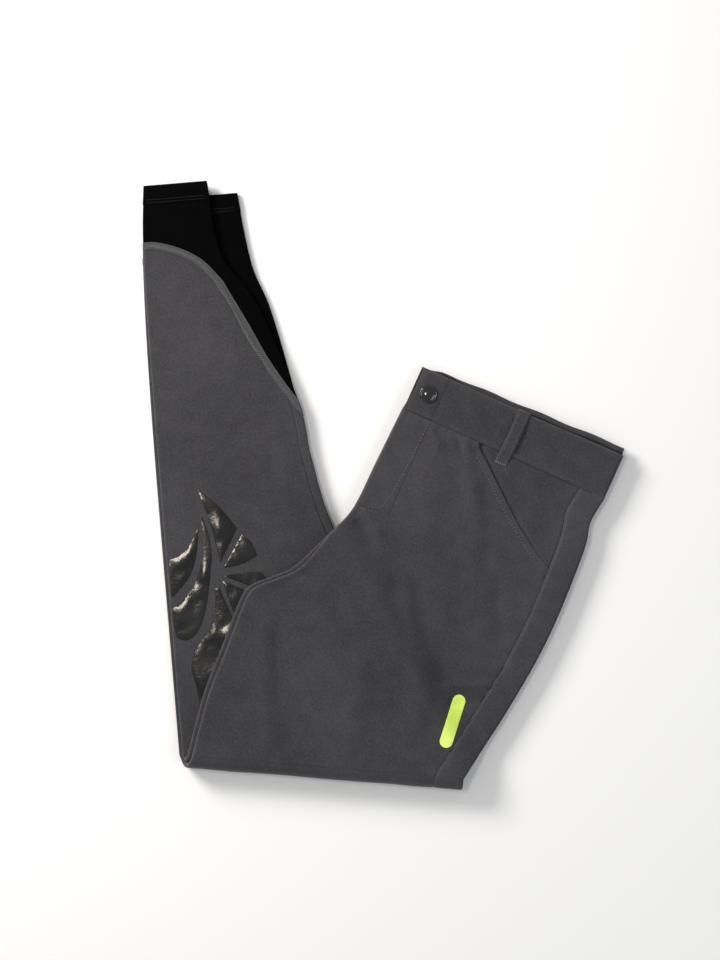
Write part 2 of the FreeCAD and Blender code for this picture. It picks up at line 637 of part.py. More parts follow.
left_band_lining = pad("left_waistband_lining", "XZ_Plane", [
    ("turn_at", "band_lb_mid"), ("left_turn_at", "band_lb_mid", "left_turn_at"),
    ("left_turn_at", "band_lf_mid"), ("band_start", "band_lf_mid"),
    ("band_start", "band_lf_low"), ("left_turn_at", "band_lf_low", "left_turn_at", True),
    ("left_turn_at", "band_lb_top"), ("turn_at", "band_lb_top"),
], "band_height", WAIST, reverse=True)
node("left_waistband", left_band_shell)
node("left_waistband_lining", left_band_lining)

# ---------------------------------------------------------------- snap fastener
# The cap clamps the tab to the socket.  The socket takes the stud's head, and
# the stud's shank goes through the underlap to a flange.
snap_spot = WAIST * Vector(size["snap_at"], size["band_height"] / 2, 0)
SNAP = Placement(snap_spot, WAIST.Rotation)
bore = size["stud_radius"] + size["stud_play"]
define(
    snap_bore=bore,
    socket_low=size["underlap_top"] + size["body_gap"],
    cap_foot=size["band_lf_top"],
    cap_rim=size["band_lf_top"] + size["cap_height"] - size["cap_edge"],
    cap_crown=size["band_lf_top"] + size["cap_height"],
    cap_shoulder=size["cap_radius"] - size["cap_edge"],
    cap_neck=size["shank_radius"],
    stud_head=size["band_lf_low"] - size["body_gap"],
    stud_base=size["underlap_top"],
    flange_top=size["underlap_low"],
    flange_low=size["underlap_low"] - size["flange_depth"],
)
cap_head = turned("snap_cap_head", [
    ("0", "cap_foot"), ("cap_radius", "cap_foot"), ("cap_radius", "cap_rim", "cap_shoulder"),
    ("cap_shoulder", "cap_crown"), ("0", "cap_crown"),
], SNAP)
cap_rivet = turned("snap_cap_rivet", [
    ("0", "band_lf_low"), ("cap_neck", "band_lf_low"), ("cap_neck", "cap_foot"), ("0", "cap_foot"),
], SNAP)
snap_cap = node("snap_cap", fuse("snap_cap", cap_head, cap_rivet))
node("snap_socket", turned("snap_socket", [
    ("snap_bore", "socket_low"), ("socket_radius", "socket_low"),
    ("socket_radius", "band_lf_low"), ("snap_bore", "band_lf_low"),
], SNAP))
stud_head = turned("snap_stud_head", [
    ("0", "stud_base"), ("stud_radius", "stud_base"), ("stud_radius", "stud_head"), ("0", "stud_head"),
], SNAP)
stud_shank = turned("snap_stud_shank", [
    ("0", "flange_top"), ("shank_radius", "flange_top"), ("shank_radius", "stud_base"), ("0", "stud_base"),
], SNAP)
node("snap_stud", fuse("snap_stud", stud_head, stud_shank))
node("snap_flange", turned("snap_flange", [
    ("0", "flange_low"), ("flange_radius", "flange_low"), ("flange_radius", "flange_top"), ("0", "flange_top"),
], SNAP))

# the tab at the end of the left waistband, with the rivet's hole through it
define(tab_start=0.6)
tab_shell = pad("tab_shell", "XZ_Plane", [
    ("tab_start", "band_lf_mid"), ("fly_width", "band_lf_mid"),
    ("fly_width", "band_lf_top"), ("tab_start", "band_lf_top"),
], "band_height", WAIST, reverse=True)
tab_lining = pad("tab_lining", "XZ_Plane", [
    ("tab_start", "band_lf_low"), ("fly_width", "band_lf_low"),
    ("fly_width", "band_lf_mid"), ("tab_start", "band_lf_mid"),
], "band_height", WAIST, reverse=True)
node("waistband_tab", cut("waistband_tab", tab_shell, cap_rivet))
node("waistband_tab_lining", cut("waistband_tab_lining", tab_lining, cap_rivet))
node("right_waistband", cut("right_waistband_pierced", right_band_shell, stud_shank))
node("right_waistband_lining", cut("right_waistband_lining_pierced", right_band_lining, stud_shank))

# ---------------------------------------------------------------- fly
zip_foot = flap_foot + size["pull_length"]
zip_head = -size["zip_end"]
shield_low = left_back_low + size["panel"] + 0.1
wing_low = shield_low + size["shield_cloth"] + size["body_gap"]
chain_low = wing_low + size["wing"] + size["zip_play"]
chain_top = chain_low + size["chain_depth"]
tape_low = chain_low + (size["chain_depth"] - size["tape_cloth"]) / 2
half_chain = size["chain_width"] / 2
recess_width = size["tape_width"] + 1
flap_recess = box("flap_recess", WAIST, (size["zip_at"] - recess_width, flap_foot - 2, left_front_low - 1),
                  (size["zip_at"] + recess_width, 6, left_front_low + size["panel"] - 0.8))
flap_sheet = common("flap_sheet", left_front_sheet, flap_plan)
node("fly_overlap", cut("fly_overlap", flap_sheet, flap_recess))
fly_shield = box("fly_shield", WAIST, (size["edge_wall"], zip_foot - 4, shield_low),
                 (size["fly_width"] + 3, 0, shield_low + size["shield_cloth"]))
node("fly_shield", fly_shield)

half_slot = half_chain - 0.4
tape_slots = []
for side, sign in (("left", 1), ("right", -1)):
    near, far = sorted((sign * half_slot, sign * (half_slot + size["tape_width"])))
    tape_corners = ((size["zip_at"] + near, zip_foot - 3, tape_low),
                    (size["zip_at"] + far, zip_head + 6, tape_low + size["tape_cloth"]))
    tape = box(side + "_zip_tape", WAIST, *tape_corners)
    tape_slots.append(box(side + "_tape_slot", WAIST, *tape_corners))
    teeth = []
    steps = int((zip_head - zip_foot) / size["tooth_pitch"])
    offset = 0 if sign > 0 else size["tooth_pitch"] / 2
    for step in range(steps - 1):
        start = zip_foot + 1 + offset + step * size["tooth_pitch"]
        low_x, high_x = sorted((sign * (size["wedge_width"] / 2 + size["body_gap"]), sign * half_chain))
        tooth = Part.makeBox(high_x - low_x, size["tooth_pitch"] / 2 - 0.12, size["chain_depth"],
                             Vector(size["zip_at"] + low_x, start, chain_low))
        slot = Part.makeBox(size["tape_width"] + 1, size["tooth_pitch"], size["tape_cloth"],
                            Vector(size["zip_at"] + near if sign > 0 else size["zip_at"] + far
                                   - size["tape_width"] - 1, start - 0.2, tape_low))
        teeth.append(tooth.cut(slot))
    row = doc.addObject("Part::Feature", side + "_zip_teeth")
    row.Shape = Part.makeCompound(teeth)
    row.Placement = WAIST
    node(side + "_zip_teeth", row)
    node(side + "_zip_tape", tape)
    stop = box(side + "_stop_block", WAIST,
               (size["zip_at"] + min(sign * 0.3, sign * (half_slot + 1.4)), zip_head + 0.4, chain_low),
               (size["zip_at"] + max(sign * 0.3, sign * (half_slot + 1.4)), zip_head + 2.4, chain_top))
    node(side + "_top_stop", cut(side + "_top_stop", stop, tape_slots[-1]))
foot_block = box("foot_block", WAIST, (size["zip_at"] - half_chain - 0.6, zip_foot - 2.6, chain_low),
                 (size["zip_at"] + half_chain + 0.6, zip_foot, chain_top))
node("zip_bottom_stop", cut("zip_bottom_stop", foot_block, *tape_slots))

# slider: two wings round the chain, joined by a wedge above the closed teeth, and a crown
slider_frame = WAIST * Placement(Vector(size["zip_at"], zip_head - 0.6 - size["slider_length"], 0), Rotation())
half_slider = size["slider_width"] / 2
slider_length = size["slider_length"]
wing_top_low = chain_top + size["zip_play"]
lower_wing = box("lower_wing", slider_frame, (-half_slider, 0, chain_low - size["zip_play"] - size["wing"]),
                 (half_slider, slider_length, chain_low - size["zip_play"]))
upper_wing = box("upper_wing", slider_frame, (-half_slider, 0, wing_top_low),
                 (half_slider, slider_length, wing_top_low + size["wing"]))
side_walls = []
rail_room = tape_low + size["tape_cloth"] + 0.15
for sign in (-1, 1):
    low_x, high_x = sorted((sign * (half_chain + 0.3), sign * half_slider))
    side_walls.append(box(f"rail_{'left' if sign > 0 else 'right'}", slider_frame,
                          (low_x, 0, rail_room), (high_x, slider_length, wing_top_low)))
    side_walls.append(box(f"foot_rail_{'left' if sign > 0 else 'right'}", slider_frame,
                          (low_x, 0, chain_low - size["zip_play"]), (high_x, slider_length, tape_low - 0.15)))
crown_low = wing_top_low + size["wing"]
crown = box("crown", slider_frame, (-0.9, 1.2, crown_low),
            (0.9, slider_length - 1.6, crown_low + size["crown_height"]))
crown_eye = box("crown_eye", slider_frame, (-2, 2.2, crown_low), (2, 3.6, crown_low + size["crown_height"] - 0.15))
half_wedge = size["wedge_width"] / 2
wedge = box("wedge", slider_frame, (-half_wedge, slider_length - 2.4, chain_low - size["zip_play"]),
            (half_wedge, slider_length, wing_top_low))
slider = fuse("slider_block", lower_wing, upper_wing, crown, wedge, *side_walls)
node("zip_slider", cut("zip_slider", slider, crown_eye))

# pull tab: a flat plate with a window that loops through the crown
pull_pivot_y = 2.9
pull_low = crown_low + 0.08
pull_frame = slider_frame * Placement(Vector(0, pull_pivot_y, pull_low), Rotation())
half_pull = size["pull_width"] / 2
pull_plate = box("pull_plate", pull_frame, (-half_pull, -size["pull_length"], 0), (half_pull, 0.5, size["pull_depth"]))
pull_window = box("pull_window", pull_frame, (-1.25, -5.2, -1), (1.25, -0.45, 2))
node("zip_pull", cut("zip_pull", pull_plate, pull_window))

# ---------------------------------------------------------------- belt loops and label
define(
    loop_seat=left_front_top, loop_seat_over=left_front_top + size["loop_strap"],
    loop_top_low=size["band_lf_top"], loop_top_over=size["band_lf_top"] + size["loop_strap"],
    loop_bridge=size["band_lf_top"] + size["loop_rise"],
    loop_bridge_over=size["band_lf_top"] + size["loop_rise"] + size["loop_strap"],
    loop_foot_end=5, loop_rise_at=2.5, loop_fall_at=size["band_height"] - 7,
    loop_hold_at=size["band_height"] - 3, loop_end=size["band_height"] + 0.8,
)
front_loop = pad("left_front_loop", "YZ_Plane", [
    ("-loop_tail", "loop_seat"), ("-loop_foot_end", "loop_seat"), ("loop_rise_at", "loop_bridge"),
    ("loop_fall_at", "loop_bridge"), ("loop_hold_at", "loop_top_low"), ("loop_end", "loop_top_low"),
    ("loop_end", "loop_top_over"), ("loop_hold_at", "loop_top_over"), ("loop_fall_at", "loop_bridge_over"),
    ("loop_rise_at", "loop_bridge_over"), ("-loop_foot_end", "loop_seat_over"), ("-loop_tail", "loop_seat_over"),
], "loop_width", WAIST * Placement(Vector(size["front_loop_at"], 0, 0), Rotation()), middle=True)
node("left_front_loop", front_loop)
define(loop_floor=0, under_strap=size["loop_strap"], under_seat=size["loop_room"])
under_loop = pad("right_front_loop", "YZ_Plane", [
    ("-loop_tail", "loop_floor"), ("loop_end", "loop_floor"), ("loop_end", "under_seat"),
    ("loop_hold_at", "under_seat"), ("loop_hold_at", "under_strap"), ("-loop_foot_end", "under_strap"),
    ("-loop_foot_end", "under_seat"), ("-loop_tail", "under_seat"),
], "loop_width", WAIST * Placement(Vector(size["front_loop_at"], 0, 0), Rotation()), middle=True)
node("right_front_loop", under_loop)
half_loop = size["loop_width"] / 2
hidden_loop_low = size["band_rb_top"]
for name, at, low in (
    ("left_side_loop", size["side_loop_at"], size["band_lb_low"] - size["loop_strap"]),
    ("right_back_loop", size["rear_loop_at"], hidden_loop_low),
):
    node(name, box(name, WAIST, (at - half_loop, 0.5, low),
                   (at + half_loop, size["band_height"], low + size["loop_strap"])))
centre_loop_at = size["turn_at"] + 0.8
node("centre_back_loop", box("centre_back_loop", WAIST, (centre_loop_at, 0.5, hidden_loop_low),
                             (centre_loop_at + half_loop, size["band_height"],
                              hidden_loop_low + size["loop_strap"])))
label_low = max(size["band_lb_top"], left_back_low + size["panel"]) + 0.1
label_at = size["underlap_end"] + 12
node("care_label", box("care_label", WAIST, (label_at, -size["label_height"] + 22, label_low),
                       (label_at + size["label_width"], size["band_height"] - 4, label_low + 0.3)))

# ---------------------------------------------------------------- check, set the origin and write
doc.recompute()
faulty = [o.Name for o in doc.Objects if "Invalid" in o.State or "Error" in o.State]
if faulty:
    raise SystemExit(f"objects that failed: {faulty}")
extent = FreeCAD.BoundBox()
for name, obj in nodes.items():
    shape = obj.Shape
    if shape.isNull() or not shape.isValid() or not shape.Solids:
        raise SystemExit(f"{name} has no valid solid")
    extent.add(shape.optimalBoundingBox(False))
centre = Placement(Vector(-extent.Center.x, -extent.Center.y, -extent.ZMin), Rotation())
os.makedirs("parts", exist_ok=True)
for name, obj in nodes.items():
    obj.Placement = centre * obj.Placement
doc.recompute()
for name, obj in nodes.items():
    obj.Shape.exportStep(f"parts/{name}.step")
    print(f"{name}: {len(obj.Shape.Solids)} solid(s), {obj.Shape.Volume / 1000:.2f} cm3")


def spot(label, point):
    print(label, [round(c, 3) for c in centre * point])


print("box", round(extent.XLength, 2), round(extent.YLength, 2), round(extent.ZLength, 2))
spot("knee axis point", crease_frame.Base)
print("knee axis direction", [round(c, 6) for c in KNEE.Rotation * Vector(1, 0, 0)])
hinge_level = max(left_front_top, size["band_lf_top"]) + 0.05
spot("flap axis point", WAIST * Vector(size["fly_width"], 0, 0) + UP * hinge_level)
print("waist axes", [round(c, 6) for c in WAIST.Rotation * Vector(1, 0, 0)],
      [round(c, 6) for c in WAIST.Rotation * Vector(0, 1, 0)])
print("zip travel", round(zip_head - zip_foot - size["slider_length"] - 1.0, 2))
spot("snap", snap_spot + UP * size["cap_crown"])
spot("waist origin", Vector())
spot("shin origin", SHIN.Base)
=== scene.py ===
"""Riding breeches with knee grip, folded for storage: cloth, trims, floor and light."""

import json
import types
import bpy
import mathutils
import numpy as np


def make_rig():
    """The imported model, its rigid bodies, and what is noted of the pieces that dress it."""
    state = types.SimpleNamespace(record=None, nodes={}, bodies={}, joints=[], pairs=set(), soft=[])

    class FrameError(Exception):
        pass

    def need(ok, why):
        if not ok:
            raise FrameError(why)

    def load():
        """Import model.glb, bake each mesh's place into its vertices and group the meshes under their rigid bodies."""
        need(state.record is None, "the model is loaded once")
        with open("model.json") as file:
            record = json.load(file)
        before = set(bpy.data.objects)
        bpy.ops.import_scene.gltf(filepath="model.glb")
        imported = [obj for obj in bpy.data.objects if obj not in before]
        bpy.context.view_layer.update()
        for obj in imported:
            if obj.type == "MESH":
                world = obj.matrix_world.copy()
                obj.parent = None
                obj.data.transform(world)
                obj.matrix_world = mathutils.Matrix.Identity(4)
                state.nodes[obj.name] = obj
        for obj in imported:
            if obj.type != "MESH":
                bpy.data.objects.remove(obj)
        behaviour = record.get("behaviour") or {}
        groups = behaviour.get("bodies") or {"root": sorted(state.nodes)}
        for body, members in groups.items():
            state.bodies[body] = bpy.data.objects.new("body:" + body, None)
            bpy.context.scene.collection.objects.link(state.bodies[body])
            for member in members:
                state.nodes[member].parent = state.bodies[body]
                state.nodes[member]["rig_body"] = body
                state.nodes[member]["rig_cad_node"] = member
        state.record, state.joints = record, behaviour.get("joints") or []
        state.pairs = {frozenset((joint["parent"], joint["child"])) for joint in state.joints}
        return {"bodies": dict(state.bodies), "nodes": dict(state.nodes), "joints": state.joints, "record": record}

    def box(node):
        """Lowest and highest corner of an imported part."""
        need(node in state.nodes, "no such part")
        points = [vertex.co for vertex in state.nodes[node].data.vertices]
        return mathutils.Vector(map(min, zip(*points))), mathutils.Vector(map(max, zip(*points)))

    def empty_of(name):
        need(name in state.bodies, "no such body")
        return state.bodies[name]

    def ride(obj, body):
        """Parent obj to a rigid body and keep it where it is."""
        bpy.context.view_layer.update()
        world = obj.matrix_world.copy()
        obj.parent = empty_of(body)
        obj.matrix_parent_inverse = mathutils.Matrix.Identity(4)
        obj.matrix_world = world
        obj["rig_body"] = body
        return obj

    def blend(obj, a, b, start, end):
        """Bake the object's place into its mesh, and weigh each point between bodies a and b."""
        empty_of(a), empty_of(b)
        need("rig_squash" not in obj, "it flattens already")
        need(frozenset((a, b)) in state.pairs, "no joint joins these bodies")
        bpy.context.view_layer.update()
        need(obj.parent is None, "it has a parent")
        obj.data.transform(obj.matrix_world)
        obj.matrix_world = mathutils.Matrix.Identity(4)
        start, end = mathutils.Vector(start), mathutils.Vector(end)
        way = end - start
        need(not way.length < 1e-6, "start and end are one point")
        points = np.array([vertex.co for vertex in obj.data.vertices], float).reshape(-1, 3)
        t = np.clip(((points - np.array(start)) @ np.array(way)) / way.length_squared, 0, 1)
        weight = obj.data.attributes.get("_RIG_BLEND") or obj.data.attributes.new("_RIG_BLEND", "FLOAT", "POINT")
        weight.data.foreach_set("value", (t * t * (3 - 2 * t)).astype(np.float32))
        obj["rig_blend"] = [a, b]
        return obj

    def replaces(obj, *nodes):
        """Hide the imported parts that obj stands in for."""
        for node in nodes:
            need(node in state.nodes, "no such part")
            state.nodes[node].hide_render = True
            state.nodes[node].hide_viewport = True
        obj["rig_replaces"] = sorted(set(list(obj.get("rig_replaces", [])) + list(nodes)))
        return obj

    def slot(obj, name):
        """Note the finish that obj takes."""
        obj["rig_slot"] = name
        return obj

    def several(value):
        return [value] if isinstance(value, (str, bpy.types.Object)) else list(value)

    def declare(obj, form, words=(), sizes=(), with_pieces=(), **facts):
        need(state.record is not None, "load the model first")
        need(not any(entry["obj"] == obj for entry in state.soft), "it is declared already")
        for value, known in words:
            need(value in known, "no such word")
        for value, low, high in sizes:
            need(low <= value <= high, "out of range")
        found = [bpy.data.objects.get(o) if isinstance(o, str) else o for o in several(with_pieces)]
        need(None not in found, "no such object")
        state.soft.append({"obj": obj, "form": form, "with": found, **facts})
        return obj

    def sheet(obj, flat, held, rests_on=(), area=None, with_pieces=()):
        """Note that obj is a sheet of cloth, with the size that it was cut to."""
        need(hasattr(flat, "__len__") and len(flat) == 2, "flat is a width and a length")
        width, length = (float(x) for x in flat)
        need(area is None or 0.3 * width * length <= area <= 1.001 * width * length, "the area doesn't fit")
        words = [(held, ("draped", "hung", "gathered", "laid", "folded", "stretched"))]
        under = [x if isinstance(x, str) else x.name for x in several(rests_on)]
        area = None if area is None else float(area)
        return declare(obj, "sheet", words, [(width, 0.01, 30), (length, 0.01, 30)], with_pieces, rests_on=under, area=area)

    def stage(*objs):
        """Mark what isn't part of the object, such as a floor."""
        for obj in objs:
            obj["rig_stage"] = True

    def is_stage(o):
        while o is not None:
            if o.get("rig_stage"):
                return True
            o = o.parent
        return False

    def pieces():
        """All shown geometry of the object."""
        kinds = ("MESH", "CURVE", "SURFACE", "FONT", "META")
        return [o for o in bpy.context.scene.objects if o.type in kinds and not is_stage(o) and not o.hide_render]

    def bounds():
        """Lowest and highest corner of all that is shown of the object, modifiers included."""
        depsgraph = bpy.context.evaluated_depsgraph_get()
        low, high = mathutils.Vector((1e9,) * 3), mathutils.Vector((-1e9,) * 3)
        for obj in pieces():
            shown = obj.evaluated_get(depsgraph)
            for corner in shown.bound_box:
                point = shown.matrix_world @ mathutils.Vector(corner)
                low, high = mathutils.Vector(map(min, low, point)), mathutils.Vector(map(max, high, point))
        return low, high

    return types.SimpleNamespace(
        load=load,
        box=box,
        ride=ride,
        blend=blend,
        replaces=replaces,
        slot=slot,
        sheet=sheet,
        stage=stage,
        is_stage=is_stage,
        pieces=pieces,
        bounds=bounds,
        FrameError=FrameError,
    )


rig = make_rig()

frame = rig.load()

import json
import math

import bmesh
import bpy
import numpy as np
from mathutils import Matrix, Vector, noise
from mathutils.bvhtree import BVHTree

cad_box = [list(corner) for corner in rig.bounds()]


# ---------------------------------------------------------------- The fold
# The garment is folded down its centre, left leg over right, and again at the
# knees, so the lower legs lie under the thighs.  Cloth is placed in three flat
# frames, in mm: the waistband's, the knee crease's and the lower leg's.
MM = 0.001
fly_width = 31
shin_step, shin_lean = 10, math.radians(4.7)
knee_span, crease_tilt = 270, math.radians(19.7)
shin_shoulder = (170, 208)
thigh_drop, ramp_start, ramp_run = 10.5, 3, 33

joints = {joint["name"]: joint for joint in frame["joints"]}
flap_joint, knee_joint = joints["fly_flap_lift"], joints["left_knee_fold"]
waist_up = Vector(flap_joint["axis"])
waist_across = Vector((waist_up.y, -waist_up.x, 0))
waist_origin = Vector(flap_joint["pos_m"]) / MM - waist_across * fly_width
knee_along = -Vector(knee_joint["axis"])
knee_away = Vector((-knee_along.y, knee_along.x, 0))
knee_origin = Vector(knee_joint["pos_m"]) / MM
knee_level = knee_origin.z
shin_along = Vector((math.cos(shin_lean), math.sin(shin_lean), 0))
shin_up = Vector((-math.sin(shin_lean), math.cos(shin_lean), 0))
shin_origin = knee_origin - knee_along * shin_step
crease_end = knee_origin + knee_along * knee_span
edge_top = shin_origin + shin_along * shin_shoulder[0] + shin_up * shin_shoulder[1]
ramp_way = Vector((edge_top.y - crease_end.y, crease_end.x - edge_top.x, 0)).normalized()


def smooth(t):
    """An even start and stop between 0 and 1."""
    t = min(max(t, 0.0), 1.0)
    return t * t * (3 - 2 * t)


def plan_frame(origin, along, up):
    """The way from a flat frame's own (x, y) to a point of the plan."""
    def place(x, y):
        point = origin + along * x + up * y
        return Vector((point.x, point.y, 0))

    return place


on_waist = plan_frame(waist_origin, waist_across, waist_up)
on_shin = plan_frame(shin_origin, shin_along, shin_up)


def thigh_fall(point):
    """How far the thighs have come down past the edge of the lower legs."""
    past = (point - crease_end).dot(ramp_way) - ramp_start
    return thigh_drop * smooth(past / ramp_run)


# ---------------------------------------------------------------- Stretch twill
# The shell is a charcoal four-way stretch twill, matt, with a soft nap that
# catches the light in patches.  The same weave group serves every woven cloth.
def feed(tree, socket, value):
    """Gives an input a plain value, or the output that drives it."""
    if isinstance(value, bpy.types.NodeSocket):
        tree.links.new(value, socket)
    else:
        socket.default_value = value


def add_node(tree, kind, **inputs):
    """A shader node with its inputs fed.  In their names an underscore stands for a space."""
    made = tree.nodes.new("ShaderNode" + kind)
    for name, value in inputs.items():
        feed(tree, made.inputs[name.replace("_", " ")], value)
    return made


def add_sum(tree, operation, *values):
    """A sum.  MULTIPLY_ADD is the first value times the second, plus the third."""
    made = tree.nodes.new("ShaderNodeMath")
    made.operation = operation
    for socket, value in zip(made.inputs, values):
        feed(tree, socket, value)
    return made.outputs["Value"]


def new_effect(name, inputs):
    """A node group that several materials share, with what it is given and what it puts out."""
    group = bpy.data.node_groups.new(name, "ShaderNodeTree")
    kinds = {True: "NodeSocketColor", False: "NodeSocketFloat"}
    for label, start in inputs.items():
        kind = kinds[isinstance(start, tuple)]
        socket = group.interface.new_socket(label, in_out="INPUT", socket_type=kind)
        socket.default_value = start
    for label in ("Color", "Roughness", "Height"):
        kind = kinds[label == "Color"]
        group.interface.new_socket(label, in_out="OUTPUT", socket_type=kind)
    given = group.nodes.new("NodeGroupInput").outputs
    return group, given, group.nodes.new("NodeGroupOutput").inputs


def end_effect(group, out, share, colours, roughness, height):
    """Joins up a group's outputs: two colours mixed by a share, a roughness and a height."""
    mix = group.nodes.new("ShaderNodeMix")
    mix.data_type = "RGBA"
    for index, value in zip((0, 6, 7), (share, *colours)):
        feed(group, mix.inputs[index], value)
    for label, value in zip(("Color", "Roughness", "Height"), (mix.outputs[2], roughness, height)):
        feed(group, out[label], value)


def cloth_group():
    """Ribs, cross threads, slubs and a slow mottle, from the cut pattern in metres."""
    group, given, out = new_effect("woven_cloth", {
        "Ground": (0.05, 0.05, 0.05, 1), "Raised": (0.07, 0.07, 0.07, 1), "Rib scale": 520,
        "Rib depth": 0.6, "Mottle": 0.5, "Wear": 0.0})
    pattern = add_node(group, "UVMap")
    pattern.uv_map = "cut"
    cut = pattern.outputs["UV"]

    def ribs(turn, closeness):
        turned = add_node(group, "Mapping", Vector=cut, Rotation=(0, 0, math.radians(turn)))
        scale = add_sum(group, "MULTIPLY", given["Rib scale"], closeness)
        return add_node(
            group, "TexWave", Vector=turned.outputs["Vector"], Scale=scale, Distortion=0.6,
            Detail=1.0).outputs["Fac"]

    def speckle(scale, detail):
        return add_node(group, "TexNoise", Vector=cut, Scale=scale, Detail=detail).outputs["Fac"]

    def mixed(a, share, b):
        return add_sum(group, "MULTIPLY_ADD", b, share, a)

    slubs, nap, patches, broad = speckle(1400, 2), speckle(420, 2), speckle(60, 3), speckle(7, 2)
    height = mixed(mixed(ribs(58, 1.0), 0.45, ribs(-32, 1.6)), 0.5, slubs)
    lively = mixed(mixed(mixed(broad, 0.5, patches), 0.9, nap), 0.3, slubs)
    spread = add_node(group, "MapRange", Value=lively, From_Min=1.0, From_Max=1.7)
    # The edge highlight input is painted light: along rounded edges it pushes the colour towards the raised one and
    # lowers the roughness.
    share = add_sum(
        group, "MULTIPLY_ADD", spread.outputs["Result"], given["Mottle"], given["Wear"])
    share.node.use_clamp = True
    rough = add_node(group, "MapRange", Value=share, To_Min=0.93, To_Max=0.74)
    end_effect(
        group, out, share, (given["Ground"], given["Raised"]), rough.outputs["Result"],
        add_sum(group, "MULTIPLY", height, given["Rib depth"]))
    return group


def effect_material(name, group, values, strength, depth, **shader_values):
    """A material that a shared effect colours, roughens and bumps, and that effect's node."""
    material = bpy.data.materials.new(name)
    material.use_nodes = True
    tree = material.node_tree
    effect = tree.nodes.new("ShaderNodeGroup")
    effect.node_tree = group
    for label, value in values.items():
        effect.inputs[label].default_value = (*value, 1) if isinstance(value, tuple) else value
    bump = add_node(
        tree, "Bump", Strength=strength, Distance=depth, Height=effect.outputs["Height"])
    shader_values.update(
        Base_Color=effect.outputs["Color"], Roughness=effect.outputs["Roughness"],
        Normal=bump.outputs["Normal"])
    for label, value in shader_values.items():
        feed(tree, tree.nodes["Principled BSDF"].inputs[label.replace("_", " ")], value)
    return material, effect


woven_cloth = cloth_group()


def cloth(name, ground, raised, rib_scale=520, rib_depth=0.6, mottle=0.5, sheen=0.2,
          edge_wear=0.35, specular=0.28):
    """One woven or knitted finish: its two colours, the closeness of its ribs and its nap."""
    values = {"Ground": ground, "Raised": raised, "Rib scale": rib_scale, "Rib depth": rib_depth,
              "Mottle": mottle}
    material, weave = effect_material(
        name, woven_cloth, values, 0.55, 0.00025, Sheen_Weight=sheen, Sheen_Roughness=0.45,
        Sheen_Tint=(0.72, 0.76, 0.9, 1), Specular_IOR_Level=specular)
    tree = material.node_tree
    # The per-corner attribute read here is a painted highlight along rounded edges and folds.
    lit_edge = add_node(tree, "Attribute")
    lit_edge.attribute_name = "edge_wear"
    edge_light = add_sum(tree, "MULTIPLY", lit_edge.outputs["Fac"], edge_wear)
    feed(tree, weave.inputs["Wear"], edge_light)
    return material


twill = cloth("stretch_twill", (0.028, 0.0268, 0.0300), (0.074, 0.0715, 0.0775), mottle=0.6)
twill_slot = "stretch_weave"


def new_object(name, data):
    """An object of its own in the scene."""
    obj = bpy.data.objects.new(name, data)
    bpy.context.scene.collection.objects.link(obj)
    return obj


def piece(name, bm, material, body, slot, replaces=(), thick=0.0):
    """Makes the finished mesh an object, gives it its wall, and fastens it to its body."""
    mesh = bpy.data.meshes.new(name)
    for part in bm.faces:
        part.smooth = True
    bm.to_mesh(mesh)
    bm.free()
    mesh.materials.append(material)
    obj = new_object(name, mesh)
    if thick:
        wall = obj.modifiers.new("cloth_thickness", "SOLIDIFY")
        wall.thickness = thick * MM
        wall.offset = 0
        even = obj.modifiers.new("even_edges", "WEIGHTED_NORMAL")
        even.weight = 95
    if body:
        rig.ride(obj, body)
    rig.slot(obj, slot)
    if replaces:
        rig.replaces(obj, *replaces)
    return obj


def laid_grid(columns, rows, place, edge_light=None, skip=None):
    """A grid of cloth.  place(column, row) gives a corner's point and its (u, v) in the cut."""
    bm = bmesh.new()
    bmesh.ops.create_grid(bm, x_segments=columns, y_segments=rows, size=0.5)
    pattern = bm.loops.layers.uv.new("cut")
    lit_edge = bm.verts.layers.float.new("edge_wear")
    where, cut = {}, {}
    for corner in bm.verts:
        i, j = round((corner.co.x + 0.5) * columns), round((corner.co.y + 0.5) * rows)
        where[corner] = (i, j)
        point, cut[corner] = place(i, j)
        corner.co = point * MM
        # each corner's share of the painted edge highlight
        corner[lit_edge] = edge_light(i, j) if edge_light else 0.0
    if skip:
        out = [part for part in bm.faces
               if skip(*(sum(where[v][c] for v in part.verts) / 4 for c in (0, 1)))]
        bmesh.ops.delete(bm, geom=out, context="FACES")
    for part in bm.faces:
        for loop in part.loops:
            loop[pattern].uv = cut[loop.vert]
    return bm


# ---------------------------------------------------------------- Thighs
# Front and back panels of each thigh, cut from twill and serged together down
# the inseam and the side seam, which lies on top, 26 mm in from the fold.
def smooth_run(points, steps=7):
    """More points on a smooth line through a run, without its last."""
    dense = []
    for k in range(len(points) - 1):
        near = [points[n] for n in (max(k - 1, 0), k, k + 1, min(k + 2, len(points) - 1))]
        for step in range(steps):
            t = step / steps
            pull = (-t**3 + 2*t**2 - t, 3*t**3 - 5*t**2 + 2, -3*t**3 + 4*t**2 + t, t**3 - t**2)
            dense.append([0.5 * sum(w * p[c] for w, p in zip(pull, near)) for c in (0, 1)])
    return dense


def edge(points):
    """A smooth cut edge through (across, along) points, as a function of the place along it."""
    points = sorted(points, key=lambda p: p[1])
    widths, places = zip(*smooth_run(points, 8), points[-1])
    return lambda y: float(np.interp(y, places, widths))


def between(value, low, high):
    """A value kept between two others."""
    return max(min(value, high), low)


